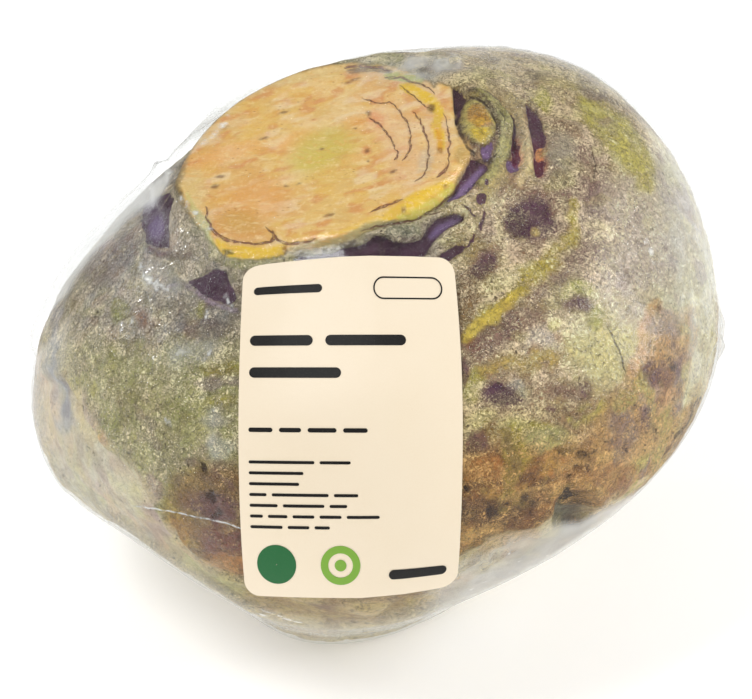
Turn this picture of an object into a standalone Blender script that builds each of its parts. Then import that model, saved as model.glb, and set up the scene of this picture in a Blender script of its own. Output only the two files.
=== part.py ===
"""A topped rutabaga in a clear shrink film with a paper label, at its real size.

Frame: +Z up, origin on the resting plane, midway along the object's width and depth. The front, where the
label is, faces -Y. Lengths in this file are millimetres until to_metres() places them.

The root is star-shaped seen from CENTRE, so one function, root_radius(), gives its whole surface. The film
is a thin shell pulled tight over the root: it clings to what bulges and spans what is hollow. The label
lies on the film. The root, the film and the label are three separate solids with a small gap between them.
"""

from math import cos, pi, radians, sin

import bmesh
import bpy
import numpy as np
from mathutils import Vector
from mathutils.bvhtree import BVHTree

# ---- driving dimensions, mm and degrees ----
CENTRE = (1.1, 1.0, 60.0)  # the point that every radius is measured from
CROWN_TILT = (-0.23, 0.01, 0.973)  # the direction that the cut crown faces
CROWN_HEIGHT = 48.0  # from CENTRE to the cut, along CROWN_TILT
CROWN_ROUNDING = 1.5  # softness of the knife cut's edge
FOOT_ROUNDING = 3.0  # softness of the trimmed foot's edge
FILM_THICKNESS = 0.45  # a stand-in: real shrink film is about 0.02 mm
GAP = 0.35  # between root and film
LABEL_GAP = 0.45  # between film and label
FILM_TENSION = 0.8  # 0 clings into every hollow, 1 spans each one flat
LABEL_THICKNESS = 0.4
LABEL_WIDTH, LABEL_HEIGHT, LABEL_CORNER = 40.6, 62.0, 2.8  # seen square on
LABEL_X, LABEL_RISE = -5.3, -16.6  # its middle from CENTRE, sideways and up the slope that it faces along
LABEL_TILT = 38.0  # the label faces this far above the horizon
VENT_RADIUS = 2.5  # the punched air hole at the back
VENT_AZIMUTH, VENT_ELEVATION = 78.0, -12.0

SPOKES = 54  # of the mesh, around the crown's axis
RING_STEPS = ((24, 6.0), (36, 2.0), (180, 4.8))  # up to that angle from the crown's axis, rings that far apart

# Angle from the crown's axis, and the plain body's radius there: the crown, its collar, the shoulder, the
# widest girth, the taper and the tap root's stub.
PROFILE = (
    (0, 56),
    (14, 56),
    (24, 57),
    (29.5, 57.2),
    (35, 55.0),
    (42, 54.5),
    (52, 57.5),
    (66, 63),
    (82, 67.0),
    (98, 67.0),
    (114, 62.5),
    (130, 56.5),
    (146, 55),
    (162, 59),
    (180, 62.0),
)

# Swellings and hollows that make the body lopsided: azimuth and elevation from CENTRE, height, spread.
LOBES = {
    "back_right_shoulder": (45, 42, 7.2, 33),
    "right_cheek": (-8, -10, 1.8, 16),
    "right_taper": (-28, -36, -6.0, 22),
    "left_cheek": (186, -16, 4.0, 24),
    "left_neck": (158, 28, -4.0, 20),
    "back": (100, 5, -3.0, 40),
    "front_belly": (-90, 0, -1.0, 35),
    "lower_left_hollow": (221, -34, -12.0, 14),
    "lower_right_hollow": (-51, -37, -12.0, 18),
    "foot": (-128, -66, 11.5, 22),
    "back_of_foot": (50, -74, 7.0, 20),
}


def unit(v):
    v = np.asarray(v, float)
    return v / np.linalg.norm(v, axis=-1, keepdims=True)


def direction(azimuth, elevation):
    a, e = radians(azimuth), radians(elevation)
    return np.array([cos(a) * cos(e), sin(a) * cos(e), sin(e)])


def smooth_through(x, stations):
    """The cubic curve through the stations, level at both ends."""
    xs, ys = np.array(stations, float).T
    slope = np.zeros(len(xs))
    slope[1:-1] = (ys[2:] - ys[:-2]) / (xs[2:] - xs[:-2])
    i = np.clip(np.searchsorted(xs, x) - 1, 0, len(xs) - 2)
    h = xs[i + 1] - xs[i]
    t = (x - xs[i]) / h
    return (
        (2 * t**3 - 3 * t**2 + 1) * ys[i]
        + (t**3 - 2 * t**2 + t) * h * slope[i]
        + (3 * t**2 - 2 * t**3) * ys[i + 1]
        + (t**3 - t**2) * h * slope[i + 1]
    )


def soft_min(a, b, k):
    """The lesser of a and b, rounded over k where they cross and exact beyond it."""
    return np.minimum(a, b) - np.maximum(k - np.abs(a - b), 0) ** 2 / (4 * k)


def level_radius(D, height):
    """How far the level plane at that height is along each downward direction."""
    down = -D[:, 2]
    return np.where(down > 0.05, (CENTRE[2] - height) / np.maximum(down, 0.05), 1e3)


def root_radius(D):
    axis = unit(CROWN_TILT)
    r = smooth_through(np.degrees(np.arccos(np.clip(D @ axis, -1, 1))), PROFILE)
    for azimuth, elevation, height, spread in LOBES.values():
        apart = np.degrees(np.arccos(np.clip(D @ direction(azimuth, elevation), -1, 1)))
        r = r + height * np.exp(-((apart / spread) ** 2))
    up = D @ axis
    cut = np.where(up > 0.05, CROWN_HEIGHT / np.maximum(up, 0.05), 1e3)
    r = soft_min(r, cut, CROWN_ROUNDING)
    return soft_min(r, level_radius(D, FILM_THICKNESS + GAP), FOOT_ROUNDING)


def spread_directions(n):
    """n directions spread evenly over a sphere, on a golden spiral."""
    i = np.arange(n) + 0.5
    z = 1 - 2 * i / n
    turn = i * pi * (3 - 5**0.5)
    s = np.sqrt(1 - z * z)
    return np.stack([s * np.cos(turn), s * np.sin(turn), z], 1)


def taut_radius(D):
    """The root's outline with every hollow spanned: the space inside all the planes that just touch it."""
    spots = spread_directions(3000)
    spots = spots * root_radius(spots)[:, None]
    normals = spread_directions(2500)
    reach = (normals @ spots.T).max(1)
    facing = D @ normals.T
    return np.where(facing > 0.15, reach / np.maximum(facing, 0.15), 1e3).min(1)


def film_inner_radius(D):
    r = root_radius(D)
    bridged = r + GAP + FILM_TENSION * np.maximum(taut_radius(D) - r, 0)
    return np.minimum(bridged, level_radius(D, FILM_THICKNESS))


def film_outer_radius(D):
    return np.minimum(film_inner_radius(D) + FILM_THICKNESS, level_radius(D, 0.0))


def crown_grid():
    """Directions on rings around the crown's axis, and the triangles that join them."""
    axis = unit(CROWN_TILT)
    side = unit(np.cross((0.0, 1.0, 0.0), axis))
    front = np.cross(axis, side)
    angles = [0.0]
    for limit, step in RING_STEPS:
        while angles[-1] + step < limit + 1e-6:
            angles.append(angles[-1] + step)
    angles = angles[1 : -1 if angles[-1] > 179 else None]
    rings = len(angles)
    rows = [axis]
    for ring, angle in enumerate(angles):
        t = radians(angle)
        for spoke in range(SPOKES):
            turn = 2 * pi * (spoke + 0.5 * (ring % 2)) / SPOKES
            rows.append(cos(t) * axis + sin(t) * (cos(turn) * side + sin(turn) * front))
    rows.append(-axis)
    last = len(rows) - 1
    faces = []
    for spoke in range(SPOKES):
        after = (spoke + 1) % SPOKES
        faces.append((0, 1 + spoke, 1 + after))
        end = 1 + (rings - 1) * SPOKES
        faces.append((last, end + after, end + spoke))
        for ring in range(rings - 1):
            a = 1 + ring * SPOKES
            b = a + SPOKES
            if ring % 2:  # this ring is turned half a step ahead of the next one
                faces.append((a + spoke, b + after, a + after))
                faces.append((a + spoke, b + spoke, b + after))
            else:
                faces.append((a + spoke, b + spoke, a + after))
                faces.append((a + after, b + spoke, b + after))
    return np.array(rows), faces


def to_metres(points):
    return (np.asarray(points) + np.array(CENTRE)) / 1000.0


def mesh_object(name, points, faces, material):
    mesh = bpy.data.meshes.new(name)
    mesh.from_pydata([tuple(p) for p in points], [], faces)
    bm = bmesh.new()
    bm.from_mesh(mesh)
    bmesh.ops.recalc_face_normals(bm, faces=bm.faces)
    bm.to_mesh(mesh)
    bm.free()
    mesh.shade_smooth()
    mesh.set_sharp_from_angle(angle=radians(40))
    mesh.materials.append(material)
    obj = bpy.data.objects.new(name, mesh)
    bpy.context.scene.collection.objects.link(obj)
    return obj


def finish(name, colour, roughness, alpha=1.0):
    material = bpy.data.materials.new(name)
    material.use_nodes = True
    shader = material.node_tree.nodes["Principled BSDF"]
    shader.inputs["Base Color"].default_value = (*colour, 1.0)
    shader.inputs["Roughness"].default_value = roughness
    shader.inputs["Metallic"].default_value = 0.0
    shader.inputs["Alpha"].default_value = alpha
    return material


def make_root(D, faces):
    points = to_metres(D * root_radius(D)[:, None])
    return mesh_object("rutabaga", points, faces, finish("rutabaga_skin", (0.36, 0.30, 0.19), 0.6))


def make_film(D, faces):
    """Two nested skins in one object. The vent is punched through both, so the inside is open to the air."""
    outer = to_metres(D * film_outer_radius(D)[:, None])
    inner = to_metres(D * film_inner_radius(D)[:, None])
    n = len(D)
    points = np.concatenate([outer, inner])
    mesh = bpy.data.meshes.new("shrink_film")
    mesh.from_pydata(
        [tuple(p) for p in points],
        [],
        list(faces) + [(n + a, n + c, n + b) for a, b, c in faces],
    )
    mesh.shade_smooth()
    mesh.materials.append(finish("clear_film", (0.92, 0.94, 0.93), 0.12, 0.25))
    film = bpy.data.objects.new("shrink_film", mesh)
    bpy.context.scene.collection.objects.link(film)

    way_out = direction(VENT_AZIMUTH, VENT_ELEVATION)
    at = way_out * film_outer_radius(way_out[None, :])[0]
    bm = bmesh.new()
    bmesh.ops.create_cone(
        bm,
        cap_ends=True,
        segments=20,
        radius1=VENT_RADIUS / 1000,
        radius2=VENT_RADIUS / 1000,
        depth=(FILM_THICKNESS + 2 * GAP) / 1000,
    )
    cutter_mesh = bpy.data.meshes.new("vent_punch")
    bm.to_mesh(cutter_mesh)
    bm.free()
    cutter = bpy.data.objects.new("vent_punch", cutter_mesh)
    cutter.location = Vector(to_metres(at - way_out * (FILM_THICKNESS / 2 - 0.05)))
    cutter.rotation_mode = "QUATERNION"
    cutter.rotation_quaternion = Vector(way_out).to_track_quat("Z", "Y")
    cutter.hide_render = True
    cutter.display_type = "WIRE"
    bpy.context.scene.collection.objects.link(cutter)
    punch = film.modifiers.new("vent", "BOOLEAN")
    punch.operation = "DIFFERENCE"
    punch.solver = "EXACT"
    punch.object = cutter
    return film


def label_outline(columns, rows):
    """A grid over the label's rounded rectangle: its middle rows are full width, and the rows near each end
    draw in along the corner's quarter circle."""
    half_w, half_h, c = LABEL_WIDTH / 2, LABEL_HEIGHT / 2, LABEL_CORNER
    inner = [-half_h + c + (LABEL_HEIGHT - 2 * c) * j / rows for j in range(rows + 1)]
    corner = [(c * cos(radians(a)), c * sin(radians(a))) for a in (22.5, 45, 67.5, 90)]
    levels = [(-half_h + c - s, half_w - c + w) for w, s in reversed(corner)]
    levels += [(v, half_w) for v in inner]
    levels += [(half_h - c + s, half_w - c + w) for w, s in corner]
    return [[(-w + 2 * w * i / columns, v) for i in range(columns + 1)] for v, w in levels]


def make_label(D, faces):
    """Each point of the label lies on the film's own faces, straight below it along the way it faces."""
    tree = BVHTree.FromPolygons(
        [Vector(p) for p in D * film_outer_radius(D)[:, None]], faces
    )
    tilt = radians(LABEL_TILT)
    facing = Vector((0, -cos(tilt), sin(tilt)))
    rise = Vector((0, sin(tilt), cos(tilt)))
    lower, upper = [], []
    grid = label_outline(12, 18)
    for row in grid:
        for u, v in row:
            start = Vector((LABEL_X + u, 0, 0)) + rise * (LABEL_RISE + v) + facing * 200
            hit, normal, _, _ = tree.ray_cast(start, -facing)
            if normal.dot(facing) < 0:
                normal = -normal
            lower.append(hit + hit.normalized() * LABEL_GAP)
            upper.append(hit + hit.normalized() * (LABEL_GAP + LABEL_THICKNESS))
    across, n = len(grid[0]), len(lower)
    quads = []
    for j in range(len(grid) - 1):
        for i in range(across - 1):
            a = j * across + i
            quads.append((a, a + 1, a + across + 1, a + across))
    tris = [t for a, b, c, d in quads for t in ((a, b, c), (a, c, d))]
    rim = [i for i in range(across)]
    rim += [j * across + across - 1 for j in range(1, len(grid))]
    rim += [(len(grid) - 1) * across + i for i in range(across - 2, -1, -1)]
    rim += [j * across for j in range(len(grid) - 2, 0, -1)]
    walls = []
    for a, b in zip(rim, rim[1:] + rim[:1]):
        walls += [(a, b, n + b), (a, n + b, n + a)]
    body = [(n + a, n + b, n + c) for a, b, c in tris] + [(a, c, b) for a, b, c in tris] + walls
    return mesh_object(
        "paper_label", to_metres(lower + upper), body, finish("label_paper", (0.95, 0.86, 0.70), 0.5)
    )


def main():
    for obj in list(bpy.data.objects):
        bpy.data.objects.remove(obj, do_unlink=True)
    D, faces = crown_grid()
    make_root(D, faces)
    make_film(D, faces)
    make_label(D, faces)


main()
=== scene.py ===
"""The looks of a topped rutabaga in clear shrink film with a plain paper label.

The shape comes from the same rule as the solids: a radius for each direction from CENTRE. On top of that come
the fine relief of the skin and of the cut crown, the film's creases, and paint that is laid on in listed marks.

Paint and creases are placed on a stencil: flat coordinates X to the right and Y down, 752 by 699, as a fixed
point 570 mm in front of the object and 38 degrees above the horizon sees it. stencil() turns any point of the
surface into those coordinates, so the marks stay on the surface whatever looks at it.
"""

from math import atan2, cos, pi, radians, sin, sqrt

import bpy
import numpy as np
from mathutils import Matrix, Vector
from mathutils.bvhtree import BVHTree


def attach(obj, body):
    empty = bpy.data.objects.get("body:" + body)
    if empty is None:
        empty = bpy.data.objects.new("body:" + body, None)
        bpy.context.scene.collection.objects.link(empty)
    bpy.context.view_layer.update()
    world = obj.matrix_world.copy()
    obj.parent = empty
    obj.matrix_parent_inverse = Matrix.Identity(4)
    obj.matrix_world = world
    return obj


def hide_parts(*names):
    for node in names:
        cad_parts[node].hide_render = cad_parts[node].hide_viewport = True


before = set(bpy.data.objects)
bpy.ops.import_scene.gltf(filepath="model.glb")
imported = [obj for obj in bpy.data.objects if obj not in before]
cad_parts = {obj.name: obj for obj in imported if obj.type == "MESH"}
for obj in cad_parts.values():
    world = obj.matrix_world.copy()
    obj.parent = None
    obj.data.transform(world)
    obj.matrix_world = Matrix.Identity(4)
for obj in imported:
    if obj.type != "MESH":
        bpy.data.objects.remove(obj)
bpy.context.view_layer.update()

# ---------------------------------------------------------------- the solids' own rule, mm and degrees
CENTRE = (1.1, 1.0, 60.0)
CROWN_TILT = (-0.23, 0.01, 0.973)
CROWN_HEIGHT = 48.0
CROWN_ROUNDING = 1.5
FOOT_ROUNDING = 3.0
FILM_THICKNESS = 0.45
GAP = 0.35
FILM_TENSION = 0.8
LABEL_WIDTH, LABEL_HEIGHT, LABEL_CORNER = 40.6, 62.0, 2.8
LABEL_X, LABEL_RISE = -5.3, -16.6
LABEL_TILT = 38.0
VENT_RADIUS = 2.5
VENT_AZIMUTH, VENT_ELEVATION = 78.0, -12.0
PROFILE = (
    (0, 56), (14, 56), (24, 57), (29.5, 57.2), (35, 55.0), (42, 54.5), (52, 57.5), (66, 63),
    (82, 67.0), (98, 67.0), (114, 62.5), (130, 56.5), (146, 55), (162, 59), (180, 62.0),
)
LOBES = {
    "back_right_shoulder": (45, 42, 7.2, 33),
    "right_cheek": (-8, -10, 1.8, 16),
    "right_taper": (-28, -36, -6.0, 22),
    "left_cheek": (186, -16, 4.0, 24),
    "left_neck": (158, 28, -4.0, 20),
    "back": (100, 5, -3.0, 40),
    "front_belly": (-90, 0, -1.0, 35),
    "lower_left_hollow": (221, -34, -12.0, 14),
    "lower_right_hollow": (-51, -37, -12.0, 18),
    "foot": (-128, -66, 11.5, 22),
    "back_of_foot": (50, -74, 7.0, 20),
}

MESH_FREQUENCY = 98  # the fine meshes have 20 times its square triangles
MESH_FOCUS = (0.02, -0.62, 0.78)  # the side where they are finest
MESH_ZOOM = 1.38

LENS = 135.0
SENSOR = 36.0
VIEW_ELEVATION = 38.0
VIEW_TARGET = (0.5, 0.2, 58.0)
STENCIL_SIZE = (752, 699)
STENCIL_FOCAL = LENS / SENSOR * STENCIL_SIZE[0]
VIEW_DISTANCE = STENCIL_FOCAL / 4.943  # 4.943 stencil units to the millimetre at the target


def unit(v):
    v = np.asarray(v, float)
    return v / np.linalg.norm(v, axis=-1, keepdims=True)


def direction(azimuth, elevation):
    a, e = radians(azimuth), radians(elevation)
    return np.array([cos(a) * cos(e), sin(a) * cos(e), sin(e)])


def smooth_through(x, stations):
    xs, ys = np.array(stations, float).T
    slope = np.zeros(len(xs))
    slope[1:-1] = (ys[2:] - ys[:-2]) / (xs[2:] - xs[:-2])
    i = np.clip(np.searchsorted(xs, x) - 1, 0, len(xs) - 2)
    h = xs[i + 1] - xs[i]
    t = (x - xs[i]) / h
    return (
        (2 * t**3 - 3 * t**2 + 1) * ys[i]
        + (t**3 - 2 * t**2 + t) * h * slope[i]
        + (3 * t**2 - 2 * t**3) * ys[i + 1]
        + (t**3 - t**2) * h * slope[i + 1]
    )


def soft_min(a, b, k):
    return np.minimum(a, b) - np.maximum(k - np.abs(a - b), 0) ** 2 / (4 * k)


def level_radius(D, height):
    down = -D[:, 2]
    return np.where(down > 0.05, (CENTRE[2] - height) / np.maximum(down, 0.05), 1e3)


def root_radius(D):
    axis = unit(CROWN_TILT)
    r = smooth_through(np.degrees(np.arccos(np.clip(D @ axis, -1, 1))), PROFILE)
    for azimuth, elevation, height, spread in LOBES.values():
        apart = np.degrees(np.arccos(np.clip(D @ direction(azimuth, elevation), -1, 1)))
        r = r + height * np.exp(-((apart / spread) ** 2))
    up = D @ axis
    cut = np.where(up > 0.05, CROWN_HEIGHT / np.maximum(up, 0.05), 1e3)
    r = soft_min(r, cut, CROWN_ROUNDING)
    return soft_min(r, level_radius(D, FILM_THICKNESS + GAP), FOOT_ROUNDING)


def spread_directions(n):
    i = np.arange(n) + 0.5
    z = 1 - 2 * i / n
    turn = i * pi * (3 - 5**0.5)
    s = np.sqrt(1 - z * z)
    return np.stack([s * np.cos(turn), s * np.sin(turn), z], 1)


def taut_radius(D):
    spots = spread_directions(3000)
    spots = spots * root_radius(spots)[:, None]
    normals = spread_directions(2500)
    reach = (normals @ spots.T).max(1)
    out = np.empty(len(D))
    for k in range(0, len(D), 8000):
        facing = D[k : k + 8000] @ normals.T
        out[k : k + 8000] = np.where(facing > 0.15, reach / np.maximum(facing, 0.15), 1e3).min(1)
    return out


# ---------------------------------------------------------------- fine meshes
def geodesic(f):
    """Directions and triangles of an icosahedron whose faces are cut into f * f."""
    g = (1 + sqrt(5)) / 2
    corner = unit([(-1, g, 0), (1, g, 0), (-1, -g, 0), (1, -g, 0), (0, -1, g), (0, 1, g),
                   (0, -1, -g), (0, 1, -g), (g, 0, -1), (g, 0, 1), (-g, 0, -1), (-g, 0, 1)])
    sides = [(0, 11, 5), (0, 5, 1), (0, 1, 7), (0, 7, 10), (0, 10, 11), (1, 5, 9), (5, 11, 4), (11, 10, 2),
             (10, 7, 6), (7, 1, 8), (3, 9, 4), (3, 4, 2), (3, 2, 6), (3, 6, 8), (3, 8, 9), (4, 9, 5),
             (2, 4, 11), (6, 2, 10), (8, 6, 7), (9, 8, 1)]
    rows, tris = [], []
    index = {}
    count = 0
    for i in range(f + 1):
        for j in range(f + 1 - i):
            index[i, j] = count
            count += 1
    ij = np.array(sorted(index, key=index.get), float)
    local = []
    for i in range(f):
        for j in range(f - i):
            local.append((index[i, j], index[i + 1, j], index[i, j + 1]))
            if i + j < f - 1:
                local.append((index[i + 1, j], index[i + 1, j + 1], index[i, j + 1]))
    local = np.array(local)
    for n, (a, b, c) in enumerate(sides):
        w = np.stack([f - ij.sum(1), ij[:, 0], ij[:, 1]], 1) / f
        rows.append(unit(w @ corner[[a, b, c]]))
        tris.append(local + n * count)
    rows, tris = np.concatenate(rows), np.concatenate(tris)
    _, first, back = np.unique(np.round(rows, 6) + 0.0, axis=0, return_index=True, return_inverse=True)
    return rows[first], np.asarray(back).reshape(-1)[tris]


def crowd(D, focus, zoom):
    """Moves directions towards the focus without skewing the triangles, zoom times as close together there."""
    focus = unit(focus)
    c = np.clip(D @ focus, -1, 1)
    angle = 2 * np.arctan(np.tan(np.arccos(c) / 2) / zoom)
    side = D - c[:, None] * focus
    length = np.linalg.norm(side, axis=1, keepdims=True)
    side = np.where(length > 1e-9, side / np.maximum(length, 1e-9), 0)
    return unit(np.cos(angle)[:, None] * focus + np.sin(angle)[:, None] * side)


def normals_of(P, tris):
    n = np.cross(P[tris[:, 1]] - P[tris[:, 0]], P[tris[:, 2]] - P[tris[:, 0]])
    out = np.zeros_like(P)
    for k in range(3):
        np.add.at(out, tris[:, k], n)
    return unit(out)


def neighbours_mean(values, tris, times=1):
    """values averaged over each point's neighbours."""
    i = np.concatenate([tris[:, 0], tris[:, 1], tris[:, 2]])
    j = np.concatenate([tris[:, 1], tris[:, 2], tris[:, 0]])
    for _ in range(times):
        total = np.bincount(i, values[j], len(values)) + np.bincount(j, values[i], len(values))
        number = np.bincount(i, minlength=len(values)) + np.bincount(j, minlength=len(values))
        values = 0.5 * values + 0.5 * total / number
    return values


# ---------------------------------------------------------------- noise, on millimetres
def lattice(i, j, k, seed):
    h = (i * 73856093) ^ (j * 19349663) ^ (k * 83492791) ^ (seed * 40503 + 977)
    h = (h ^ (h >> 13)) * 1274126177 & 0x7FFFFFFF
    h = (h ^ (h >> 15)) * 668265263 & 0x7FFFFFFF
    return ((h >> 7) & 0xFFFF) / 32767.5 - 1.0


def noise(P, scale, seed=0):
    """Smooth noise from -1 to 1 whose blobs are about scale millimetres."""
    q = P / scale + 31.7 * (seed % 7 + 1)
    i = np.floor(q).astype(np.int64)
    f = q - i
    f = f * f * f * (f * (f * 6 - 15) + 10)
    total = 0
    for a in (0, 1):
        for b in (0, 1):
            for c in (0, 1):
                weight = (
                    (f[:, 0] if a else 1 - f[:, 0])
                    * (f[:, 1] if b else 1 - f[:, 1])
                    * (f[:, 2] if c else 1 - f[:, 2])
                )
                total = total + weight * lattice(i[:, 0] + a, i[:, 1] + b, i[:, 2] + c, seed)
    return total


def fbm(P, scale, octaves=3, seed=0, rough=0.5):
    total, weight, whole = 0, 1.0, 0.0
    for n in range(octaves):
        total = total + weight * noise(P, scale / 2.03**n, seed + 11 * n)
        whole += weight
        weight *= rough
    return total / whole


def ridges(P, scale, seed=0, sharp=0.35):
    """Thin winding ridges, 0 to 1."""
    return np.clip(1 - np.abs(noise(P, scale, seed)) / sharp, 0, 1)


# ---------------------------------------------------------------- the stencil
def stencil_frame():
    e = radians(VIEW_ELEVATION)
    back = np.array([0, -cos(e), sin(e)])
    return back, np.array([1.0, 0, 0]), np.array([0, sin(e), cos(e)])


def stencil(P):
    back, right, up = stencil_frame()
    eye = np.array(VIEW_TARGET) + back * VIEW_DISTANCE
    d = P - eye
    depth = -(d @ back)
    return np.stack(
        [
            STENCIL_SIZE[0] / 2 + STENCIL_FOCAL * (d @ right) / depth,
            STENCIL_SIZE[1] / 2 - STENCIL_FOCAL * (d @ up) / depth,
        ],
        1,
    )


def ease(x, lo, hi):
    t = np.clip((x - lo) / (hi - lo), 0, 1)
    return t * t * (3 - 2 * t)


def blob(q, x, y, rx, ry=None, turn=0.0, soft=0.3):
    """1 inside an ellipse and 0 outside, with an edge soft times its size. turn is anticlockwise."""
    ry = rx if ry is None else ry
    a = radians(turn)
    dx, dy = q[:, 0] - x, -(q[:, 1] - y)
    u = (dx * cos(a) + dy * sin(a)) / rx
    v = (-dx * sin(a) + dy * cos(a)) / ry
    return 1 - ease(np.sqrt(u * u + v * v), 1 - soft, 1 + soft)


def off_line(q, points):
    """Distance from a line through the points, and how far along it, 0 to 1, the nearest spot is."""
    best, along = np.full(len(q), 1e9), np.zeros(len(q))
    pts = np.array([p[:2] for p in points], float)
    lengths = np.linalg.norm(np.diff(pts, axis=0), axis=1)
    whole, gone = lengths.sum(), 0.0
    for a, b, length in zip(pts[:-1], pts[1:], lengths):
        t = np.clip(((q - a) @ (b - a)) / max(length**2, 1e-9), 0, 1)
        d = np.linalg.norm(q - (a + t[:, None] * (b - a)), axis=1)
        near = d < best
        best = np.where(near, d, best)
        along = np.where(near, (gone + t * length) / whole, along)
        gone += length
    return best, along


def curve(points, n=5):
    """A smooth line through the points, which may carry a width as a third number."""
    pts = [np.array(p, float) for p in points]
    pts = [2 * pts[0] - pts[1]] + pts + [2 * pts[-1] - pts[-2]]
    out = []
    for a, b, c, d in zip(pts, pts[1:], pts[2:], pts[3:]):
        for k in range(n):
            t = k / n
            out.append(0.5 * (2 * b + (c - a) * t + (2 * a - 5 * b + 4 * c - d) * t * t
                              + (3 * b - a - 3 * c + d) * t**3))
    out.append(pts[-2])
    return np.array(out)


def stroke(q, points, width=None, soft=0.45):
    """1 on a brush stroke along the points (x, y) or (x, y, half width)."""
    line = curve(points)
    d, along = off_line(q, line)
    if width is None:
        steps = np.concatenate([[0], np.cumsum(np.linalg.norm(np.diff(line[:, :2], axis=0), axis=1))])
        width = np.interp(along, steps / steps[-1], line[:, 2])
    return 1 - ease(d / width, 1 - soft, 1 + soft)


def patch(q, corners, soft=1.5):
    """1 inside a closed smooth outline through the corners, with an edge soft wide."""
    loop = [corners[-1]] + list(corners) + [corners[0], corners[1]]
    line = []
    for a, b, c, d in zip(loop, loop[1:], loop[2:], loop[3:]):
        a, b, c, d = (np.array(v, float) for v in (a, b, c, d))
        for k in range(4):
            t = k / 4
            line.append(0.5 * (2 * b + 0.6 * (c - a) * t + (-0.6 * (c - a) * 2 - 0.6 * (d - b) + 6 * (c - b)) * t * t
                               + (0.6 * (c - a) + 0.6 * (d - b) - 4 * (c - b)) * t**3))
    line = np.array(line)
    inside = np.zeros(len(q), bool)
    for a, b in zip(line, np.roll(line, -1, 0)):
        crosses = (a[1] > q[:, 1]) != (b[1] > q[:, 1])
        with np.errstate(divide="ignore", invalid="ignore"):
            at = a[0] + (q[:, 1] - a[1]) * (b[0] - a[0]) / (b[1] - a[1] if b[1] != a[1] else 1e-9)
        inside ^= crosses & (q[:, 0] < at)
    d, _ = off_line(q, np.concatenate([line, line[:1]]))
    return ease(np.where(inside, d, -d), -soft, soft)


def rgb(r, g, b):
    """A colour given as 0 to 255 display values, as linear light."""
    c = np.array([r, g, b], float) / 255
    return np.where(c <= 0.04045, c / 12.92, ((c + 0.055) / 1.055) ** 2.4)


class Coat:
    """A colour for each point, painted over layer by layer."""

    def __init__(self, n, colour):
        self.c = np.tile(np.asarray(colour, float), (n, 1))

    def over(self, mask, colour):
        self.c += mask[:, None] * (np.asarray(colour) - self.c)


def mesh_piece(name, P, tris, material, attributes=()):
    mesh = bpy.data.meshes.new(name)
    mesh.vertices.add(len(P))
    mesh.vertices.foreach_set("co", (np.asarray(P) / 1000.0).astype(np.float32).ravel())
    mesh.loops.add(3 * len(tris))
    mesh.loops.foreach_set("vertex_index", np.asarray(tris, np.int32).ravel())
    mesh.polygons.add(len(tris))
    mesh.polygons.foreach_set("loop_start", np.arange(0, 3 * len(tris), 3, dtype=np.int32))
    mesh.polygons.foreach_set("loop_total", np.full(len(tris), 3, np.int32))
    mesh.update(calc_edges=True)
    mesh.validate()
    for key, kind, values in attributes:
        a = mesh.attributes.new(key, kind, "POINT")
        field = {"FLOAT": "value", "FLOAT_COLOR": "color", "FLOAT_VECTOR": "vector"}[kind]
        a.data.foreach_set(field, np.asarray(values, np.float32).ravel())
    mesh.shade_smooth()
    mesh.materials.append(material)
    obj = bpy.data.objects.new(name, mesh)
    bpy.context.scene.collection.objects.link(obj)
    return obj


# ---------------------------------------------------------------- thin lines: arcs through three stencil points
# (start, middle, end, half width) - drawn by the material and cut a little into the surface
CROWN_LINES = [
    ((370, 118), (385.5, 131.5), (396, 150), 1.3),
    ((396, 149), (397.5, 156), (392.5, 161), 1.2),
    ((361, 98.5), (376, 101.5), (391, 103), 0.9),
    ((389, 102), (405, 119), (410, 136), 1.1),
    ((410, 134), (409.5, 148), (402.5, 160), 1.2),
    ((413, 111), (426.5, 136), (427, 164), 1.3),
    ((427.5, 158), (425, 172), (417, 181), 1.1),
    ((384, 77.5), (411, 80.5), (435, 93), 1.5),
    ((399, 86), (416, 98), (431, 109), 0.8),
    ((443, 113), (449.5, 144), (447, 167), 1.0),
    ((448, 163), (444.5, 171.5), (436, 177.5), 2.0),
    ((206, 209), (215, 232), (240, 242.5), 1.9),
    ((234, 241.5), (257, 244.5), (271, 241.5), 1.6),
    ((270, 242), (273, 237), (272, 230.5), 1.5),
    ((273, 235), (289, 243.5), (316, 238), 2.0),
    ((372, 212), (386, 205.5), (402, 199.5), 1.4),
    ((360, 230.5), (402, 222), (422, 217), 1.3),
    ((418, 218), (442, 204), (458, 188), 1.7),
    ((345, 68), (368, 66.5), (392, 71), 2.2),
]
SKIN_LINES = [
    ((606, 324), (618, 348), (625, 374), 1.1),
    ((591.5, 150), (595.5, 166), (593, 182), 0.9),
    ((470, 97.5), (488, 108), (496.5, 132), 1.2),
    ((458, 117), (462, 138), (475, 153), 2.4),
    ((473, 151), (484, 161.5), (491, 160), 3.0),
    ((499, 108), (504, 116), (505, 126), 1.0),
]
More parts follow.
